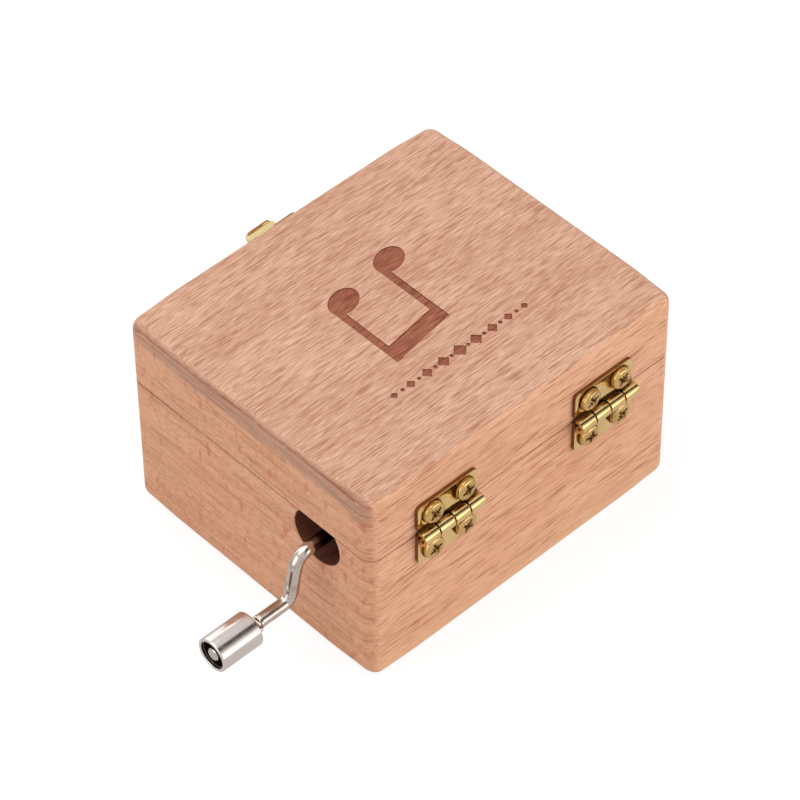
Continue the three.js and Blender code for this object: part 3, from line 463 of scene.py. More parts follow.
def remap(tree, value, low, high, new_low=0.0, new_high=1.0):
    made = put(tree, "MapRange", {
        "Value": value, "From Min": low, "From Max": high, "To Min": new_low, "To Max": new_high,
    }, interpolation_type="SMOOTHSTEP")
    return made.outputs["Result"]


def math_node(tree, operation, first, second=0.0):
    return put(tree, "Math", {0: first, 1: second}, operation=operation).outputs["Value"]


def times(tree, product, *others):
    for other in others:
        product = math_node(tree, "MULTIPLY", product, other)
    return product


def mixed(tree, share, first, second):
    """A colour mix whose sockets are found by their place, because the names repeat for each type."""
    return put(tree, "Mix", {0: share, 6: first, 7: second}, data_type="RGBA").outputs[2]


def axis(tree, vector, name):
    return put(tree, "SeparateXYZ", {"Vector": vector}).outputs[name]


def from_seam(tree, here):
    """Height above or below the seam, always positive."""
    return math_node(tree, "ABSOLUTE", math_node(tree, "SUBTRACT", axis(tree, here, "Z"), seam_height))


def bumped(tree, shader, height, share, distance, invert=False):
    bump = put(tree, "Bump", {"Height": height, "Strength": share, "Distance": distance}, invert=invert)
    tree.links.new(bump.outputs["Normal"], shader.inputs["Normal"])


# Wood

def layered(tree, tone, fields, layers, tones, strength):
    """Lays tones over a ground, each as strongly as its noise has come from its start to its full value."""
    for name, start, full, share, key in layers:
        cover = times(tree, remap(tree, fields[name], start, full), share * strength)
        tone = mixed(tree, cover, tone, tones[key])
    return tone


def long_grain(tree, here, lines, tones, strength):
    """Flat-sawn beech: clouds and fine dashes along X; lines is how much of the longer lines shows."""
    fields = {name: noise(tree, here, name) for name in ("cloud", "streak", "fibre", "dash", "line")}
    tone = mixed(tree, remap(tree, fields["cloud"], *cloud_span), tones["pale"], tones["dark"])
    tone = layered(tree, tone, fields, long_layer_shares, tones, strength)
    cover = times(tree, remap(tree, fields["line"], *line_span), lines, line_share * strength)
    return mixed(tree, cover, tone, tones["accent"]), fields["fibre"], fields["dash"]


def end_grain(tree, here, tones, strength):
    """The crank face: uneven bands and long lines along Y, faint fine fibres and small reddish flecks."""
    names = ("end_band", "end_blotch", "end_fine", "end_line", "end_fleck")
    fields = {name: noise(tree, here, name) for name in names}
    tone = mixed(tree, remap(tree, fields["end_band"], *end_band_span), tones["pale"], tones["dark"])
    tone = layered(tree, tone, fields, end_layer_shares, tones, strength)
    cover = times(tree, remap(tree, fields["end_fleck"], *fleck_span), fleck_share)
    return mixed(tree, cover, tone, tones["accent"]), fields["end_fine"], fields["end_line"]


def whorl(tree, here, wave):
    """Rings round the whorl's place, fading outwards."""
    middle = put(tree, "VectorMath", {0: here, 1: whorl_place}, operation="SUBTRACT").outputs["Vector"]
    flat = stretched(tree, middle, (0, 1, whorl_squash))
    reach = put(tree, "VectorMath", {0: flat}, operation="LENGTH").outputs["Value"]
    ripple = math_node(tree, "ADD", reach, times(tree, wave, whorl_wave))
    rings = math_node(tree, "SINE", math_node(tree, "DIVIDE", ripple, whorl_pitch))
    return times(tree, remap(tree, rings, 0.0, ring_full), remap(tree, reach, whorl_reach, whorl_core))


def grey_band(tree, here, tone, fine, line, facing_z):
    """The lid's end: a greyer band under the top edge, a few rings where it ends, and a reddish rim."""
    along = axis(tree, here, "Y")
    wave = noise(tree, here, "band_edge")
    start = remap(tree, along, -box_depth / 2, band_full_y, band_rise, 0.0)
    edge = math_node(tree, "ADD", times(tree, wave, band_wave), math_node(tree, "ADD", start, band_bottom))
    above = remap(tree, math_node(tree, "SUBTRACT", axis(tree, here, "Z"), edge), 0.0, band_blur)
    inside = times(tree, above, remap(tree, along, box_depth / 2, box_depth / 2 - band_tip))
    lines = remap(tree, line, *strand_line_span)
    strands = math_node(tree, "MAXIMUM", lines, remap(tree, fine, *strand_fine_span))
    rings = whorl(tree, here, wave)
    tone = mixed(tree, times(tree, inside, band_share), tone, colour(*band_tone))
    tone = mixed(tree, times(tree, strands, inside, strand_share), tone, colour(*strand_tone))
    tone = mixed(tree, times(tree, rings, inside, whorl_share), tone, colour(*strand_tone))
    uneven = remap(tree, math_node(tree, "ADD", wave, fine), *rim_wave_span, *rim_shares)
    ends, tops = remap(tree, facing_z, *rim_end_span), remap(tree, facing_z, *rim_top_span)
    return mixed(tree, times(tree, ends, tops, uneven), tone, colour(*rim_tone))


def painted_seam_shade(tree, here, facing_z, tone):
    """Painted shade in the seam gap: a dark line along the seam, clear on the latch's side and faint on the
    hinges' side.
    """
    near = remap(tree, from_seam(tree, here), seam_shade, seam_gap / 2)
    share = remap(tree, axis(tree, here, "Y"), seam_fade_end, seam_fade_start, *seam_shares)
    upright = remap(tree, facing_z, *seam_facing_span)
    return mixed(tree, times(tree, near, share, upright), tone, colour(*seam_painted_shade_tone))


def wood(name, top, side, end, strength=1.0, banded=False, low_painted_light=False):
    """Beech seen along the grain on the long faces and across it on the two ends."""
    material, tree, shader = new_material(name)
    top, side, end = (
        dict(zip(tone_names, [colour(*tone) for tone in wood_tones[key]])) for key in (top, side, end)
    )
    place = put(tree, "TexCoord")
    here = place.outputs["Object"]
    facing_x, facing_y, facing_z = (
        math_node(tree, "ABSOLUTE", axis(tree, place.outputs["Normal"], key)) for key in "XYZ"
    )
    towards_x = remap(tree, facing_x, *towards_x_span)
    towards_y = remap(tree, facing_y, *towards_y_span)
    top_tone, fibre, dash = long_grain(tree, here, top_line_share, top, strength)
    waves = times(tree, noise(tree, here, "low_edge"), low_wave)
    upper = remap(tree, math_node(tree, "ADD", axis(tree, here, "Z"), waves), low_start, low_end)
    lines = math_node(tree, "ADD", times(tree, upper, 1 - low_line_share), low_line_share)
    side_tone = long_grain(tree, here, lines, side, side_strength_share * strength)[0]
    # Painted light: a paler tone low on the long sides
    if low_painted_light:
        lower = times(tree, math_node(tree, "SUBTRACT", 1.0, upper), low_painted_light_share)
        side_tone = mixed(tree, lower, side_tone, colour(*low_painted_light_tone))
    end_tone, fine, line = end_grain(tree, here, end, strength)
    if banded:
        end_tone = grey_band(tree, here, end_tone, fine, line, facing_z)
    tone = mixed(tree, towards_x, mixed(tree, towards_y, top_tone, side_tone), end_tone)
    feed(tree, shader, {
        "Base Color": painted_seam_shade(tree, here, facing_z, tone),
        "Roughness": remap(tree, dash, *wood_dash_span, *wood_roughness_span),
        "Specular IOR Level": wood_specular,
    })
    along = times(tree, math_node(tree, "ADD", dash, fibre), math_node(tree, "SUBTRACT", 1.0, towards_x))
    height = math_node(tree, "ADD", along, times(tree, fine, towards_x))
    bumped(tree, shader, height, wood_bump_share, wood_bump, invert=True)
    return material


# Metal and plastic

def metal(name, scratch="scratch", shade_spans=None, painted_valley_shade=False):
    """Bare or plated metal with stains, fine scratches and uneven gloss.

    Between shade_spans along X it is painted dark, as painted shade inside the crank hole, and
    painted_valley_shade paints shade between the hinges' leaves and knuckles.
    """
    base, dark, roughness, bump_height, stains = metal_looks[name]
    material, tree, shader = new_material(name)
    here = put(tree, "TexCoord").outputs["Object"]
    fine = noise(tree, here, scratch)
    stain = times(tree, remap(tree, noise(tree, here, "stain"), *metal_stain_span), stains)
    tone = mixed(tree, stain, colour(*base), colour(*dark))
    # Painted shade on the rod inside the crank hole
    if shade_spans:
        outer, inner = (remap(tree, axis(tree, here, "X"), *span) for span in shade_spans)
        tone = mixed(tree, times(tree, outer, inner), tone, rod_hole_shade_tone)
    # Painted shade between the hinges' leaves and knuckles
    if painted_valley_shade:
        low = remap(tree, axis(tree, here, "Y"), hinge_axis_y - valley_shade_top, hinge_axis_y - valley_shade_full)
        near = times(tree, low, remap(tree, from_seam(tree, here), valley_shade_reach, knuckle_radius))
        tone = mixed(tree, times(tree, near, valley_shade_share), tone, valley_shade_tone)
    roughnesses = [roughness * share for share in metal_roughness_shares]
    rough = remap(tree, fine, *metal_scratch_span, *roughnesses)
    feed(tree, shader, {"Base Color": tone, "Metallic": 1.0, "Roughness": rough})
    bumped(tree, shader, fine, metal_bump_share, bump_height)
    return material


def plastic(name):
    material, tree, shader = new_material(name)
    here = put(tree, "TexCoord").outputs["Object"]
    cloud = noise(tree, here, "moulding")
    tones = [colour(*tone) for tone in plastic_tones]
    feed(tree, shader, {
        "Base Color": mixed(tree, remap(tree, cloud, *plastic_tone_span), *tones),
        "Roughness": remap(tree, cloud, *plastic_gloss_span, *plastic_roughness_span),
        "Subsurface Weight": plastic_depth_share,
        "Subsurface Scale": plastic_depth,
    })
    bumped(tree, shader, cloud, plastic_bump_share, plastic_bump)
    return material


beech = wood("beech", "top", "side", "end", low_painted_light=True)
banded_beech = wood("banded_beech", "top", "side", "end", banded=True)
burnt_beech = wood("burnt_beech", "burnt", "burnt_edge", "burnt_edge", burnt_strength)
dark_beech = wood("dark_beech", "dark", "dark", "dark")
hinge_brass = metal("hinge_brass", painted_valley_shade=True)
# Darker brass: cut edges, and painted shade in recesses and along the latch's top edges
cut_edge_and_shade_brass = metal("cut_and_shaded_brass")
screw_brass = metal("screw_brass")
brass = metal("polished_brass")
nickel = metal("bright_nickel", scratch="soft_scratch")
rod_nickel = metal("rod_nickel", shade_spans=rod_hole_shade_spans)
cut_steel = metal("cut_steel")
dull_steel = metal("dull_steel")

finishes = {
    "beech": beech, "brass_fittings": brass, "nickel_crank": nickel, "zinc_casting": metal("cast_zinc"),
    "bright_steel": metal("comb_steel"), "drum_brass": metal("satin_brass"),
    "white_nylon": plastic("white_nylon"),
}
slots = {entry["node"]: entry["material_slot"] for entry in frame["record"]["subparts"]}
body_of_node = {}
for body, names in frame["record"]["behaviour"]["bodies"].items():
    for node_name in names:
        body_of_node[node_name] = body


# Meshes

def make_object(name, data):
    made = bpy.data.objects.new(name, data)
    bpy.context.scene.collection.objects.link(made)
    return made


def mesh_from(name, points, faces):
    mesh = bpy.data.meshes.new(name)
    mesh.from_pydata([tuple(point) for point in points], [], faces)
    mesh.validate()
    return mesh


def applied(made):
    """Replaces an object's mesh by the one its modifiers make."""
    graph = bpy.context.evaluated_depsgraph_get()
    mesh = bpy.data.meshes.new_from_object(made.evaluated_get(graph))
    made.modifiers.clear()
    made.data = mesh


def stand_for(made, name, node_name):
    """Names a finished piece and seats it on its CAD node's body, in the node's place, and hides the node.
    """
    made.name = name
    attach(made, body_of_node[node_name])
    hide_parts(node_name)


def smooth(made, angle=smooth_angle):
    made.data.shade_smooth()
    made.data.set_sharp_from_angle(angle=angle)


def bevel(made, width, segments, angle):
    edges = made.modifiers.new("edges", "BEVEL")
    edges.width = width
    edges.segments = segments
    edges.limit_method = "ANGLE"
    edges.angle_limit = angle
    return edges


def bevelled(made, width, segments=bevel_segments):
    bevel(made, width, segments, bevel_angle)
    applied(made)
    cleaned(made)
    smooth(made)


def edited(made, change):
    """Makes a change to an object's mesh, given as a function of its bmesh."""
    shape = bmesh.new()
    shape.from_mesh(made.data)
    change(shape)
    shape.to_mesh(made.data)
    shape.free()


def cleaned(made):
    """Takes out faces without area, which cutting and bevelling can leave."""
    edited(made, lambda shape: bmesh.ops.dissolve_degenerate(shape, dist=sliver, edges=shape.edges))


def outwards(made):
    """Turns all faces of a closed mesh outwards."""
    edited(made, lambda shape: bmesh.ops.recalc_face_normals(shape, faces=shape.faces))


def refaced(made, material, chosen):
    """Gives the faces for which chosen is true another material."""
    if material.name not in made.data.materials:
        made.data.materials.append(material)
    place = made.data.materials.find(material.name)
    for face in made.data.polygons:
        if chosen(face):
            face.material_index = place


def combined(made, others, operation):
    """Joins other closed meshes to one, or cuts them from it, and deletes them."""
    group = bpy.data.collections.new("others")
    for other in others:
        group.objects.link(other)
    modifier = made.modifiers.new("combine", "BOOLEAN")
    modifier.operation = operation
    modifier.operand_type = "COLLECTION"
    modifier.collection = group
    modifier.solver = "EXACT"
    modifier.material_mode = "TRANSFER"
    applied(made)
    for other in others:
        bpy.data.objects.remove(other)
    bpy.data.collections.remove(group)


def skin(name, rings, material, loop=False):
    """A surface through rings of equal count, capped at both ends or closed into a loop."""
    count = len(rings[0])
    points = [point for ring in rings for point in ring]
    faces = []
    rows = len(rings)
    for row in range(rows if loop else rows - 1):
        low = row * count
        high = (row + 1) % rows * count
        for column in range(count):
            following = (column + 1) % count
            faces.append((low + column, low + following, high + following, high + column))
    if not loop:
        faces.append(tuple(reversed(range(count))))
        faces.append(tuple(range(len(points) - count, len(points))))
    mesh = mesh_from(name, points, faces)
    mesh.materials.append(material)
    made = make_object(name, mesh)
    outwards(made)
    return made


# The signs of a rectangle's corners, in order round it
quarters = ((1, 1), (-1, 1), (-1, -1), (1, -1))


def circle(radius, sides):
    angles = [2 * math.pi * side / sides for side in range(sides)]
    return [(radius * math.cos(angle), radius * math.sin(angle)) for angle in angles]


def rounded_rectangle(half_x, half_y, radius):
    points = []
    for corner, (sign_x, sign_y) in enumerate(quarters):
        for step in range(corner_steps + 1):
            angle = (corner + step / corner_steps) * math.pi / 2
            points.append((
                sign_x * (half_x - radius) + radius * math.cos(angle),
                sign_y * (half_y - radius) + radius * math.sin(angle),
            ))
    return points


def eased(corners, closed=True, steps=easing_steps):
    """The corners (x, y, radius) of a line as points, each corner rounded by its own radius."""
    places = [Vector(corner[:2]) for corner in corners]
    points = []
    for index, (x, y, radius) in enumerate(corners):
        here = places[index]
        inner = closed or 0 < index < len(corners) - 1
        if not radius or not inner:
            points.append((x, y))
            continue
        enter = (places[index - 1] - here).normalized() * radius
        leave = (places[(index + 1) % len(places)] - here).normalized() * radius
        for step in range(steps + 1):
            share = step / steps
            points.append(tuple(here + enter * (1 - share) ** 2 + leave * share ** 2))
    return points


def revolved(name, profile, material, sides, loop=False):
    """Turns a line of (radius, height) points about Z."""
    rings = [[(x, y, height) for x, y in circle(radius, sides)] for radius, height in profile]
    return skin(name, rings, material, loop)


def prism(name, outline, low, high, material, across=lambda x, y, z: (x, y, z)):
    rings = [[across(x, y, z) for x, y in outline] for z in (low, high)]
    return skin(name, rings, material)


# Box and lid

def block_outline():
    """Points round the box with their outward normals and how near a corner each one is, from 0 to 1."""
    points = []
    half_x = box_length / 2 - corner_radius
    half_y = box_depth / 2 - corner_radius
    for index, (sign_x, sign_y) in enumerate(quarters):
        middle = Vector((sign_x * half_x, sign_y * half_y))
        for step in range(corner_steps + 1):
            angle = (index + step / corner_steps) * math.pi / 2
            normal = Vector((math.cos(angle), math.sin(angle)))
            points.append((middle + normal * corner_radius, normal, 1.0))
        following = quarters[(index + 1) % len(quarters)]
        start = points[-1][0]
        end = Vector((following[0] * half_x, following[1] * half_y)) + normal * corner_radius
        run = (end - start).length
        for step in range(1, side_steps):
            away = run * step / side_steps
            near = max(0, 1 - away / corner_reach, 1 - (run - away) / corner_reach)
            points.append((start + (end - start) * step / side_steps, normal, near * near * (3 - 2 * near)))
    return points


def wooden_block(name, bottom, top, bottom_rounding, top_rounding, material):
    """The roundings are given along Y faces, along X faces and as an extra at the corners."""
    rings = []
    outline = block_outline()
    for rounding, level, way in ((bottom_rounding, bottom, 1), (top_rounding, top, -1)):
        along_y, along_x, extra = rounding
        for step in range(rounding_steps + 1):
            angle = (step if way > 0 else rounding_steps - step) / rounding_steps * math.pi / 2
            ring = []
            for point, normal, near in outline:
                radius = along_y + (along_x - along_y) * normal.x ** 2 + extra * near
                place = point - normal * radius * (1 - math.sin(angle))
                ring.append((place.x, place.y, level + way * radius * (1 - math.cos(angle))))
            rings.append(ring)
    return skin(name, rings, material)


def pocket(low, high):
    outline = rounded_rectangle(box_length / 2 - wall, box_depth / 2 - wall, cavity_radius)
    return prism("pocket", outline, low, high, beech)


def hole_outline(radius):
    return [(crank_hole_y + y, crank_hole_z + z) for y, z in circle(radius, hole_sides)]


def crank_hole():
    outline = hole_outline(crank_hole_radius)
    start = box_length / 2 - wall - overrun
    return prism("hole", outline, start, box_length / 2 + overrun, dark_beech, lambda y, z, x: (x, y, z))


def crank_hole_rim():
    rings = []
    for x, radius in ((-hole_rim, crank_hole_radius), (hole_rim, crank_hole_radius + 2 * hole_rim)):
        rings.append([(box_length / 2 + x, y, z) for y, z in hole_outline(radius)])
    return skin("rim", rings, beech)


def box_shell():
    made = wooden_block("box_shell", 0, seam_height - seam_gap / 2, foot_rounding, seam_rounding, beech)
    combined(made, [pocket(floor_thickness, seam_height + overrun), crank_hole()], "DIFFERENCE")
    combined(made, [crank_hole_rim()], "DIFFERENCE")
    cleaned(made)
    smooth(made)
    stand_for(made, "box_shell", "box_body")


def note_head(x, y):
    outline = []
    for cosine, sine in circle(1, note_head_sides):
        along = note_head_length * cosine
        over = note_head_width * sine
        outline.append((
            x + along * math.cos(note_head_tilt) - over * math.sin(note_head_tilt),
            y + along * math.sin(note_head_tilt) + over * math.cos(note_head_tilt),
        ))
    return outline


def beamed_notes():
    """Outlines of two notes joined by a slanted beam, upright for someone in front of the latch."""
    outlines = []
    tops = []
    for sign in (-1, 1):
        x = sign * note_spread
        y = note_bottom + sign * note_rise
        stem = x + note_head_length * math.cos(note_head_tilt) - stem_width / 2
        top = y + stem_length
        outlines.append(note_head(x, y))
        outlines.append([
            (stem - stem_width / 2, y), (stem + stem_width / 2, y),
            (stem + stem_width / 2, top), (stem - stem_width / 2, top),
        ])
        tops.append((stem + sign * stem_width / 2, top))
    (left, left_top), (right, right_top) = tops
    outlines.append([
        (left, left_top - beam_width), (right, right_top - beam_width), (right, right_top), (left, left_top),
    ])
    return outlines


def ornament_row():
    """Outlines of a row of diamonds that grow towards the middle, with dots between them."""
    outlines = []
    for index in range(-ornament_count, ornament_count + 1):
        x = index * ornament_pitch
        size = ornament_size * (1 - abs(index) / (2 * ornament_count))
        outlines.append([
            (x + size, ornament_y), (x, ornament_y + size), (x - size, ornament_y), (x, ornament_y - size),
        ])
        if index < ornament_count:
            dot = circle(dot_radius, dot_sides)
            outlines.append([(x + ornament_pitch / 2 + dot_x, ornament_y + dot_y) for dot_x, dot_y in dot])
    return outlines


def engraved(made, outlines):
    """Cuts shallow burnt fields into the top, one after the other, because they overlap."""
    for outline in outlines:
        field = prism("field", outline, box_height - engraving_depth, box_height + overrun, burnt_beech)
        combined(made, [field], "DIFFERENCE")


def lid_shell():
    bottom = seam_height + seam_gap / 2
    made = wooden_block("lid_shell", bottom, box_height, seam_rounding, crown_rounding, banded_beech)
    combined(made, [pocket(seam_height - overrun, box_height - roof_thickness)], "DIFFERENCE")
    engraved(made, beamed_notes() + ornament_row())
    cleaned(made)
    smooth(made)
    stand_for(made, "lid_shell", "lid")


# Hinges

def knuckle_x(index):
    return ((knuckle_count - 1) / 2 - index) * (knuckle_length + knuckle_gap)


def leaf_outline(own):
    """A leaf from outside: a plate with rounded outer corners and a tongue down to each of its knuckles."""
    half = leaf_width / 2
    clear = knuckle_radius + knuckle_clearance
    middles = sorted(knuckle_x(index) for index in own)
    spans = [(middle - knuckle_length / 2, middle + knuckle_length / 2) for middle in middles]
    corners = []
    if spans[0][0] > knuckle_gap - half:
        corners.append((-half, clear, 0))
    for low, high in spans:
        low, high = max(low, -half), min(high, half)
        if low > knuckle_gap - half:
            corners.append((low, clear, 0))
        corners += [(low, 0, 0), (high, 0, 0)]
        if high < half - knuckle_gap:
            corners.append((high, clear, 0))
    if spans[-1][1] < half - knuckle_gap:
        corners.append((half, clear, 0))
    return eased(corners + [(half, leaf_height, leaf_corner), (-half, leaf_height, leaf_corner)])


def roll_outline(side):
    """A knuckle from its end: sheet rolled about the pin, as (out, up) points about the hinge's axis."""
    arcs = []
    angles = [roll_start + step / roll_steps * roll_sweep for step in range(roll_steps + 1)]
    for radius in (knuckle_radius, knuckle_radius - leaf_thickness):
        arcs.append([(radius * math.cos(angle), side * radius * math.sin(angle)) for angle in angles])
    outer, inner = arcs
    return outer + inner[::-1]


def countersink(x, face, z):
    """A wide shallow cone that leaves a dark ring round a screw's head, its faces in darker brass as painted
    shade.
    """
    made = revolved("sink", [
        (sink_bottom_radius, -sink_depth), (sink_radius, 0), (sink_radius, sink_depth),
    ], cut_edge_and_shade_brass, screw_sides)
    made.data.transform(Matrix.Translation((x, face, z)) @ Matrix.Rotation(-math.pi / 2, 4, "X"))
    return made


def hinge_leaf(place, part, side, own):
    """A leaf with its rolled knuckles and countersinks, and darker, duller brass on its cut edges, the
    darkness partly painted shade.
    """
    x = hinge_places[place]
    inner_face = hinge_axis_y - knuckle_radius
    plate = prism(
        "leaf", leaf_outline(own), inner_face, inner_face + leaf_thickness, hinge_brass,
        lambda along, up, out: (x + along, out, seam_height + side * up),
    )
    rolls = []
    for index in own:
        start = x + knuckle_x(index) - knuckle_length / 2
        rolls.append(prism(
            "roll", roll_outline(side), start, start + knuckle_length, hinge_brass,
            lambda out, up, along: (along, hinge_axis_y + out, seam_height + up),
        ))
    combined(plate, rolls, "UNION")
    face = inner_face + leaf_thickness
    sinks = [countersink(x + sign * screw_spread, face, seam_height + side * screw_rise) for sign in (1, -1)]
    combined(plate, sinks, "DIFFERENCE")
    bevelled(plate, leaf_rounding)
    refaced(plate, cut_edge_and_shade_brass, lambda cut: abs(cut.normal.y) < edge_share and abs(cut.center.y) < face)
    stand_for(plate, f"hinge_{place}_{part}_leaf_sheet", f"hinge_{place}_{part}_leaf")


def cross_outline(share):
    """A screw's cross recess: four long arms and four short ones between them."""
    points = []
    pitch = 2 * math.pi / cross_arms
    kinds = (
        (cross_reach, cross_width / 2, cross_inner_angle),
        (cross_nick_reach, cross_nick_width / 2, pitch - cross_inner_angle),
    )
    for arm in range(cross_arms):
        reach, half, lean = kinds[arm % 2]
        turn = Matrix.Rotation(arm * pitch, 2)
        points += [share * (turn @ Vector((reach, -half))), share * (turn @ Vector((reach, half)))]
        points.append(share * (turn @ (Matrix.Rotation(lean, 2) @ Vector((cross_inner_radius, 0)))))
    return points


def hinge_screw(node_name, place, turn, tilt_x, tilt_z):
    """A screw with a cross recess, turned about its own axis and leaning a little."""
    name = node_name + "_turned"
    crown_radius_share, crown_height_share = head_crown_shares
    profile = eased([
        (screw_axis_gap, -shank_length, 0), (shank_radius / 2, shank_radius - shank_length, 0),
        (shank_radius, 3 * shank_radius - shank_length, 0), (shank_radius, 0, 0),
        (head_radius, 0, head_foot_easing), (head_radius, head_height * head_edge_share, head_edge_easing),
        (head_radius * crown_radius_share, head_height * crown_height_share, head_crown_easing),
        (screw_axis_gap, head_height, 0),
    ], closed=False)
    made = revolved(name, profile, screw_brass, screw_sides)
    levels = ((head_height - cross_depth, cross_bottom_share), (head_height, 1), (head_height + overrun, 1))
    recess = [[(*point, level) for point in cross_outline(share)] for level, share in levels]
    # The cross recess is cut in darker brass, as painted shade inside it
    combined(made, [skin("recess", recess, cut_edge_and_shade_brass)], "DIFFERENCE")
    lean = Matrix.Rotation(math.radians(tilt_x), 4, "X") @ Matrix.Rotation(math.radians(tilt_z), 4, "Z")
    upright = Matrix.Rotation(-math.pi / 2, 4, "X") @ Matrix.Rotation(math.radians(turn), 4, "Z")
    made.data.transform(Matrix.Translation(place) @ lean @ upright)
    smooth(made, screw_smooth_angle)
    stand_for(made, name, node_name)


def hinges():
    leaf_face = hinge_axis_y - knuckle_radius + leaf_thickness + seat_gap
    turns = iter(screw_turns)
    for place, x in hinge_places.items():
        hinge_leaf(place, "body", -1, (0, 2))
        hinge_leaf(place, "lid", 1, (1, 3))
        for part, side in (("body", -1), ("lid", 1)):
            for index, sign in ((1, 1), (2, -1)):
                spot = Vector((x + sign * screw_spread, leaf_face, seam_height + side * screw_rise))
                hinge_screw(f"hinge_{place}_{part}_screw_{index}", spot, *next(turns))


# Crank

def between(marks, place):
    """Smooth values along a table of (place, values) rows."""
    for (start, low), (end, high) in zip(marks, marks[1:]):
        if place <= end:
            share = max(0.0, (place - start) / (end - start))
            share = share * share * (3 - 2 * share)
            return [a + (b - a) * share for a, b in zip(low, high)]
    return marks[-1][1]


def crank_line():
    """The rod's middle line as (x, z) points: in through the wall, down the slanted arm, out to the knob."""
    arm = crank_z - arm_drop
    tip = knob_start + knob_length - rod_tip_inset
    corners = [
        Vector((rod_inner_end, crank_z)), Vector((first_bend_x, crank_z)), Vector((second_bend_x, arm)),
        Vector((tip, arm)),
    ]
    points = [corners[0]]
    for index, trim in ((1, first_bend_trim), (2, second_bend_trim)):
        here = corners[index]
        enter = (corners[index - 1] - here).normalized() * trim
        leave = (corners[index + 1] - here).normalized() * trim
        run = (here + enter) - points[-1]
        count = max(2, round(run.length / rod_step))
        points += [points[-1] + run * step / count for step in range(1, count)]
        for step in range(bend_steps + 1):
            share = step / bend_steps
            points.append(here + enter * (1 - share) ** 2 + leave * share ** 2)
    run = corners[3] - points[-1]
    count = round(run.length / rod_end_step)
    return points + [points[-1] + run * step / count for step in range(1, count + 1)]


def rod_shape(tip):
    """The rod's shares of width and height along X: ears before the knob, a collar in it, and the tip."""
    ears = knob_start - ear_gap
    collar = knob_start + knob_web + rod_collar_gap
    collar_end = collar + rod_collar_length
    wide = rod_collar_radius / rod_radius
    return [(ears - before, shares) for before, shares in ear_shares] + [
        (collar - rod_collar_slope, (1, 1)), (collar, (wide, wide)), (collar_end, (wide, wide)),
        (collar_end + rod_collar_slope, (1, 1)), (tip - rod_tip_slope, (1, 1)),
        (tip, (rod_tip_share, rod_tip_share)),
    ]


def crank_rod():
    line = crank_line()
    tip = line[-1].x
    marks = rod_shape(tip)
    bend = Vector((second_bend_x, crank_z - arm_drop + wrinkle_start))
    rings = []
    for index, here in enumerate(line):
        before = line[max(index - 1, 0)]
        after = line[min(index + 1, len(line) - 1)]
        along = (after - before).normalized()
        inward = Vector((-along.y, along.x))
        beside, over = between(marks, here.x)
        away = (here - bend).length
        ridge = wrinkle_height * math.cos(away / wrinkle_pitch * math.pi) ** 2 if away < wrinkle_reach else 0
        ring = []
        for cosine, sine in circle(1, rod_sides):
            radius = rod_radius + ridge * max(0, cosine) ** 2
            out = here + inward * radius * over * cosine
            ring.append((out.x, crank_y - radius * beside * sine, out.y))
        rings.append(ring)
    made = skin("crank_rod", rings, rod_nickel)
    tip_start = tip - rod_tip_inset
    refaced(made, cut_steel, lambda face: face.normal.x > flat_share and face.center.x > tip_start)
    smooth(made)
    stand_for(made, "crank_rod_bent", "crank_rod")


def knob():
    """A cup with a web that the rod goes through, bright outside and dull inside."""
    bore = rod_radius + bore_gap
    inside = knob_radius - knob_rim
    deep = inside - knob_step
    made = revolved("knob", eased([
        (bore, 0, 0), (knob_radius, 0, knob_edge), (knob_radius, knob_length, knob_edge),
        (inside, knob_length, knob_inner_edge), (inside, knob_length - knob_lip, 0),
        (deep, knob_length - knob_lip, 0), (deep, knob_web, 0), (bore, knob_web, 0),
    ]), nickel, knob_sides, loop=True)
    web = knob_web - sliver
    refaced(made, dull_steel, lambda face: face.center.z > web and face.center.to_2d().length < deep)
    turn = Matrix.Rotation(math.pi / 2, 4, "Y")
    made.data.transform(Matrix.Translation((knob_start, crank_y, crank_z - arm_drop)) @ turn)
    smooth(made, knob_smooth_angle)
    stand_for(made, "knob_cup", "crank_knob")


# Latch

def catch_line():
    """The tongue's middle line as (out, up) points from the lid's front face: a shelf with a lip."""
    root = seat_gap + latch_sheet / 2
    out = tongue_reach - latch_sheet / 2
    corners = eased([
        (root, tongue_root, 0), (out, tongue_root, tongue_ease), (out, tongue_top, 0),
    ], closed=False, steps=tongue_bend_steps)
    points = [Vector(corners[0])]
    for corner in corners[1:]:
        run = Vector(corner) - points[-1]
        count = max(1, round(run.length / tongue_step))
        points += [points[-1] + run * step / count for step in range(1, count + 1)]
    return points


def tongue():
    """The tongue as a sheet along its line, thinner towards the tip and with rounded corners there."""
    line = catch_line()
    rings = []
    for index, here in enumerate(line):
        along = (line[min(index + 1, len(line) - 1)] - line[max(index - 1, 0)]).normalized()
        left = sum((after - before).length for before, after in zip(line[index:], line[index + 1:]))
        thick = latch_sheet * (tongue_tip_share + (1 - tongue_tip_share) * min(1, left / latch_sheet))
        across = Vector((along.y, -along.x)) * thick / 2
        into_corner = max(0, latch_corner - left)
        half = tongue_width / 2 - latch_corner + math.sqrt(latch_corner ** 2 - into_corner ** 2)
        rings.append([
            (latch_x + sign * half, -box_depth / 2 - here.x - layer * across.x, here.y + layer * across.y)
            for sign, layer in quarters
        ])
    return skin("tongue", rings, brass)


def upright_sheet(name, width, bottom, top, corner, near, far):
    """A sheet parallel to the latch's side of the box, with eased corners."""
    outline = eased([
        (width / 2, bottom, corner), (width / 2, top, corner),
        (-width / 2, top, corner), (-width / 2, bottom, corner),
    ])
    return prism(name, outline, near, far, brass, lambda x, z, y: (latch_x + x, y, z))


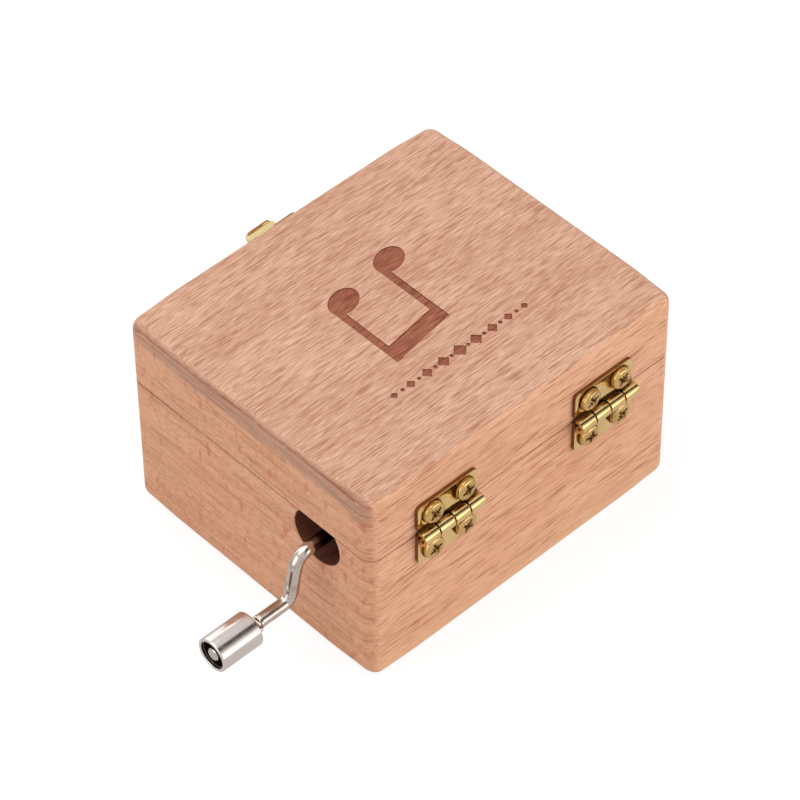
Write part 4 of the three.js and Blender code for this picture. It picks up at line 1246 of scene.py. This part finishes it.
def catch_plate():
    """The lid's plate with a window cut open to its top, the tongue before it, and darker brass on its top
    cut edges as painted shade.
    """
    face = -box_depth / 2 - seat_gap
    back = face - latch_sheet
    plate = upright_sheet("plate", catch_width, catch_bottom, catch_top, latch_corner, face, back)
    window = upright_sheet(
        "window", window_width, tongue_root + latch_sheet, catch_top + overrun, 0,
        face + overrun, back - latch_sheet,
    )
    combined(plate, [window], "DIFFERENCE")
    combined(plate, [tongue()], "UNION")
    middle = Vector((latch_x, face, (catch_top + catch_bottom) / 2))
    turn = Matrix.Rotation(catch_tilt, 4, "Y")
    plate.data.transform(Matrix.Translation(middle) @ turn @ Matrix.Translation(-middle))
    bevelled(plate, catch_rounding, catch_segments)
    cap = tongue_top - tongue_cap
    refaced(plate, cut_edge_and_shade_brass, lambda edge: edge.normal.z > tongue_edge_share and edge.center.z > cap)
    stand_for(plate, "catch_plate_pressed", "latch_catch_plate")


box_shell()
lid_shell()
hinges()
crank_rod()
knob()
catch_plate()


# CAD nodes that stay as they are get their finish; modifiers ease their edges

def softened(made):
    made.data.shade_smooth()
    weld = made.modifiers.new("weld", "WELD")
    weld.merge_threshold = weld_reach
    bevel(made, cad_rounding, bevel_segments, cad_bevel_angle).harden_normals = True


for node_name, made in frame["nodes"].items():
    made.data.materials.clear()
    made.data.materials.append(finishes[slots[node_name]])
    softened(made)


# Floor, lights and camera

def flat_sheet(name, width, length):
    points = [(x * width / 2, y * length / 2, 0) for x, y in quarters]
    return make_object(name, mesh_from(name, points, [range(len(points))]))


def seen_and_mirrored(tree):
    """Whether the camera sees a point directly, and whether shiny or clear things show it."""
    path = put(tree, "LightPath")
    mirrored = math_node(tree, "MAXIMUM", path.outputs["Is Glossy Ray"], path.outputs["Is Transmission Ray"])
    return path.outputs["Is Camera Ray"], mirrored


def floor():
    """A pale floor: white to the camera and to shiny things, with the object's shadow on it."""
    made = flat_sheet("floor", floor_size, floor_size)
    material, tree, shader = new_material("white_floor")
    cloud = noise(tree, put(tree, "TexCoord").outputs["Object"], "floor")
    rough = remap(tree, cloud, *floor_gloss_span, *floor_roughness_span)
    feed(tree, shader, {"Roughness": rough, "Base Color": floor_tone, "Specular IOR Level": floor_specular})
    glow = put(tree, "Emission", {"Color": white, "Strength": floor_glow})
    seen, mirrored = seen_and_mirrored(tree)
    seen = times(tree, seen, floor_seen_share)
    share = math_node(tree, "MAXIMUM", seen, times(tree, mirrored, floor_mirrored_share))
    both = put(tree, "MixShader", {0: share, 1: shader.outputs["BSDF"], 2: glow.outputs["Emission"]})
    output = next(node for node in tree.nodes if node.type == "OUTPUT_MATERIAL")
    feed(tree, output, {"Surface": both.outputs["Shader"]})
    made.data.materials.append(material)


def lamp(name, direction, size, power):
    light = bpy.data.lights.new(name, "AREA")
    light.shape = "SQUARE"
    light.size = size
    light.energy = power
    made = make_object(name, light)
    made.location = Vector(direction).normalized() * lamp_distance
    made.rotation_euler = Vector(direction).to_track_quat("Z", "Y").to_euler()


def dark_card():
    """A dark card with soft sides that only shiny things see, as photographers set beside bright metal."""
    spot = Vector(card_direction).normalized()
    side = Vector(card_across).normalized()
    made = flat_sheet("dark_strip", card_width, card_length)
    axes = Matrix((side, spot.cross(side), spot)).transposed()
    made.matrix_world = Matrix.Translation(spot * card_distance) @ axes.to_4x4()
    material, tree, shader = new_material("dark_strip")
    way = axis(tree, put(tree, "TexCoord").outputs["Object"], "X")
    sharp = remap(tree, way, card_width / 2, card_width * card_sharp_share)
    soft = remap(tree, way, -card_width / 2, card_width * card_soft_share)
    feed(tree, shader, {"Base Color": card_tone, "Alpha": times(tree, sharp, soft)})
    made.data.materials.append(material)
    made.visible_camera = False
    made.visible_diffuse = False
    made.visible_shadow = False
    made.visible_transmission = False


def world():
    """White to the camera and to shiny things, and a plain level of light for the rest."""
    sky = bpy.data.worlds.new("studio")
    sky.use_nodes = True
    tree = sky.node_tree
    tree.nodes.clear()
    plain = put(tree, "Background", {"Color": white, "Strength": sky_level})
    bright = put(tree, "Background", {"Color": white, "Strength": 1.0})
    share = math_node(tree, "MAXIMUM", *seen_and_mirrored(tree))
    both = put(tree, "MixShader", {0: share, 1: plain.outputs[0], 2: bright.outputs[0]})
    put(tree, "OutputWorld", {"Surface": both.outputs[0]})
    bpy.context.scene.world = sky


def camera():
    sin_a, cos_a = math.sin(camera_azimuth), math.cos(camera_azimuth)
    sin_e, cos_e = math.sin(camera_elevation), math.cos(camera_elevation)
    back = Vector((sin_a * cos_e, -cos_a * cos_e, sin_e))
    right = Vector((0, 0, 1)).cross(back).normalized()
    up = back.cross(right)
    sin_r, cos_r = math.sin(camera_roll), math.cos(camera_roll)
    turned_right = cos_r * right + sin_r * up
    turned_up = cos_r * up - sin_r * right
    data = bpy.data.cameras.new("camera")
    data.lens = camera_lens
    data.sensor_width = sensor_width
    data.clip_start = clip_start
    made = make_object("camera", data)
    place = camera_target + back * camera_distance
    place += turned_right * camera_offset[0] + turned_up * camera_offset[1]
    axes = Matrix((turned_right, turned_up, back)).transposed()
    made.matrix_world = Matrix.Translation(place) @ axes.to_4x4()
    bpy.context.scene.camera = made


floor()
world()
camera()
for name, (direction, size, power) in lamps.items():
    lamp(name, direction, size, power)
dark_card()
bpy.context.scene.view_settings.view_transform = "Standard"
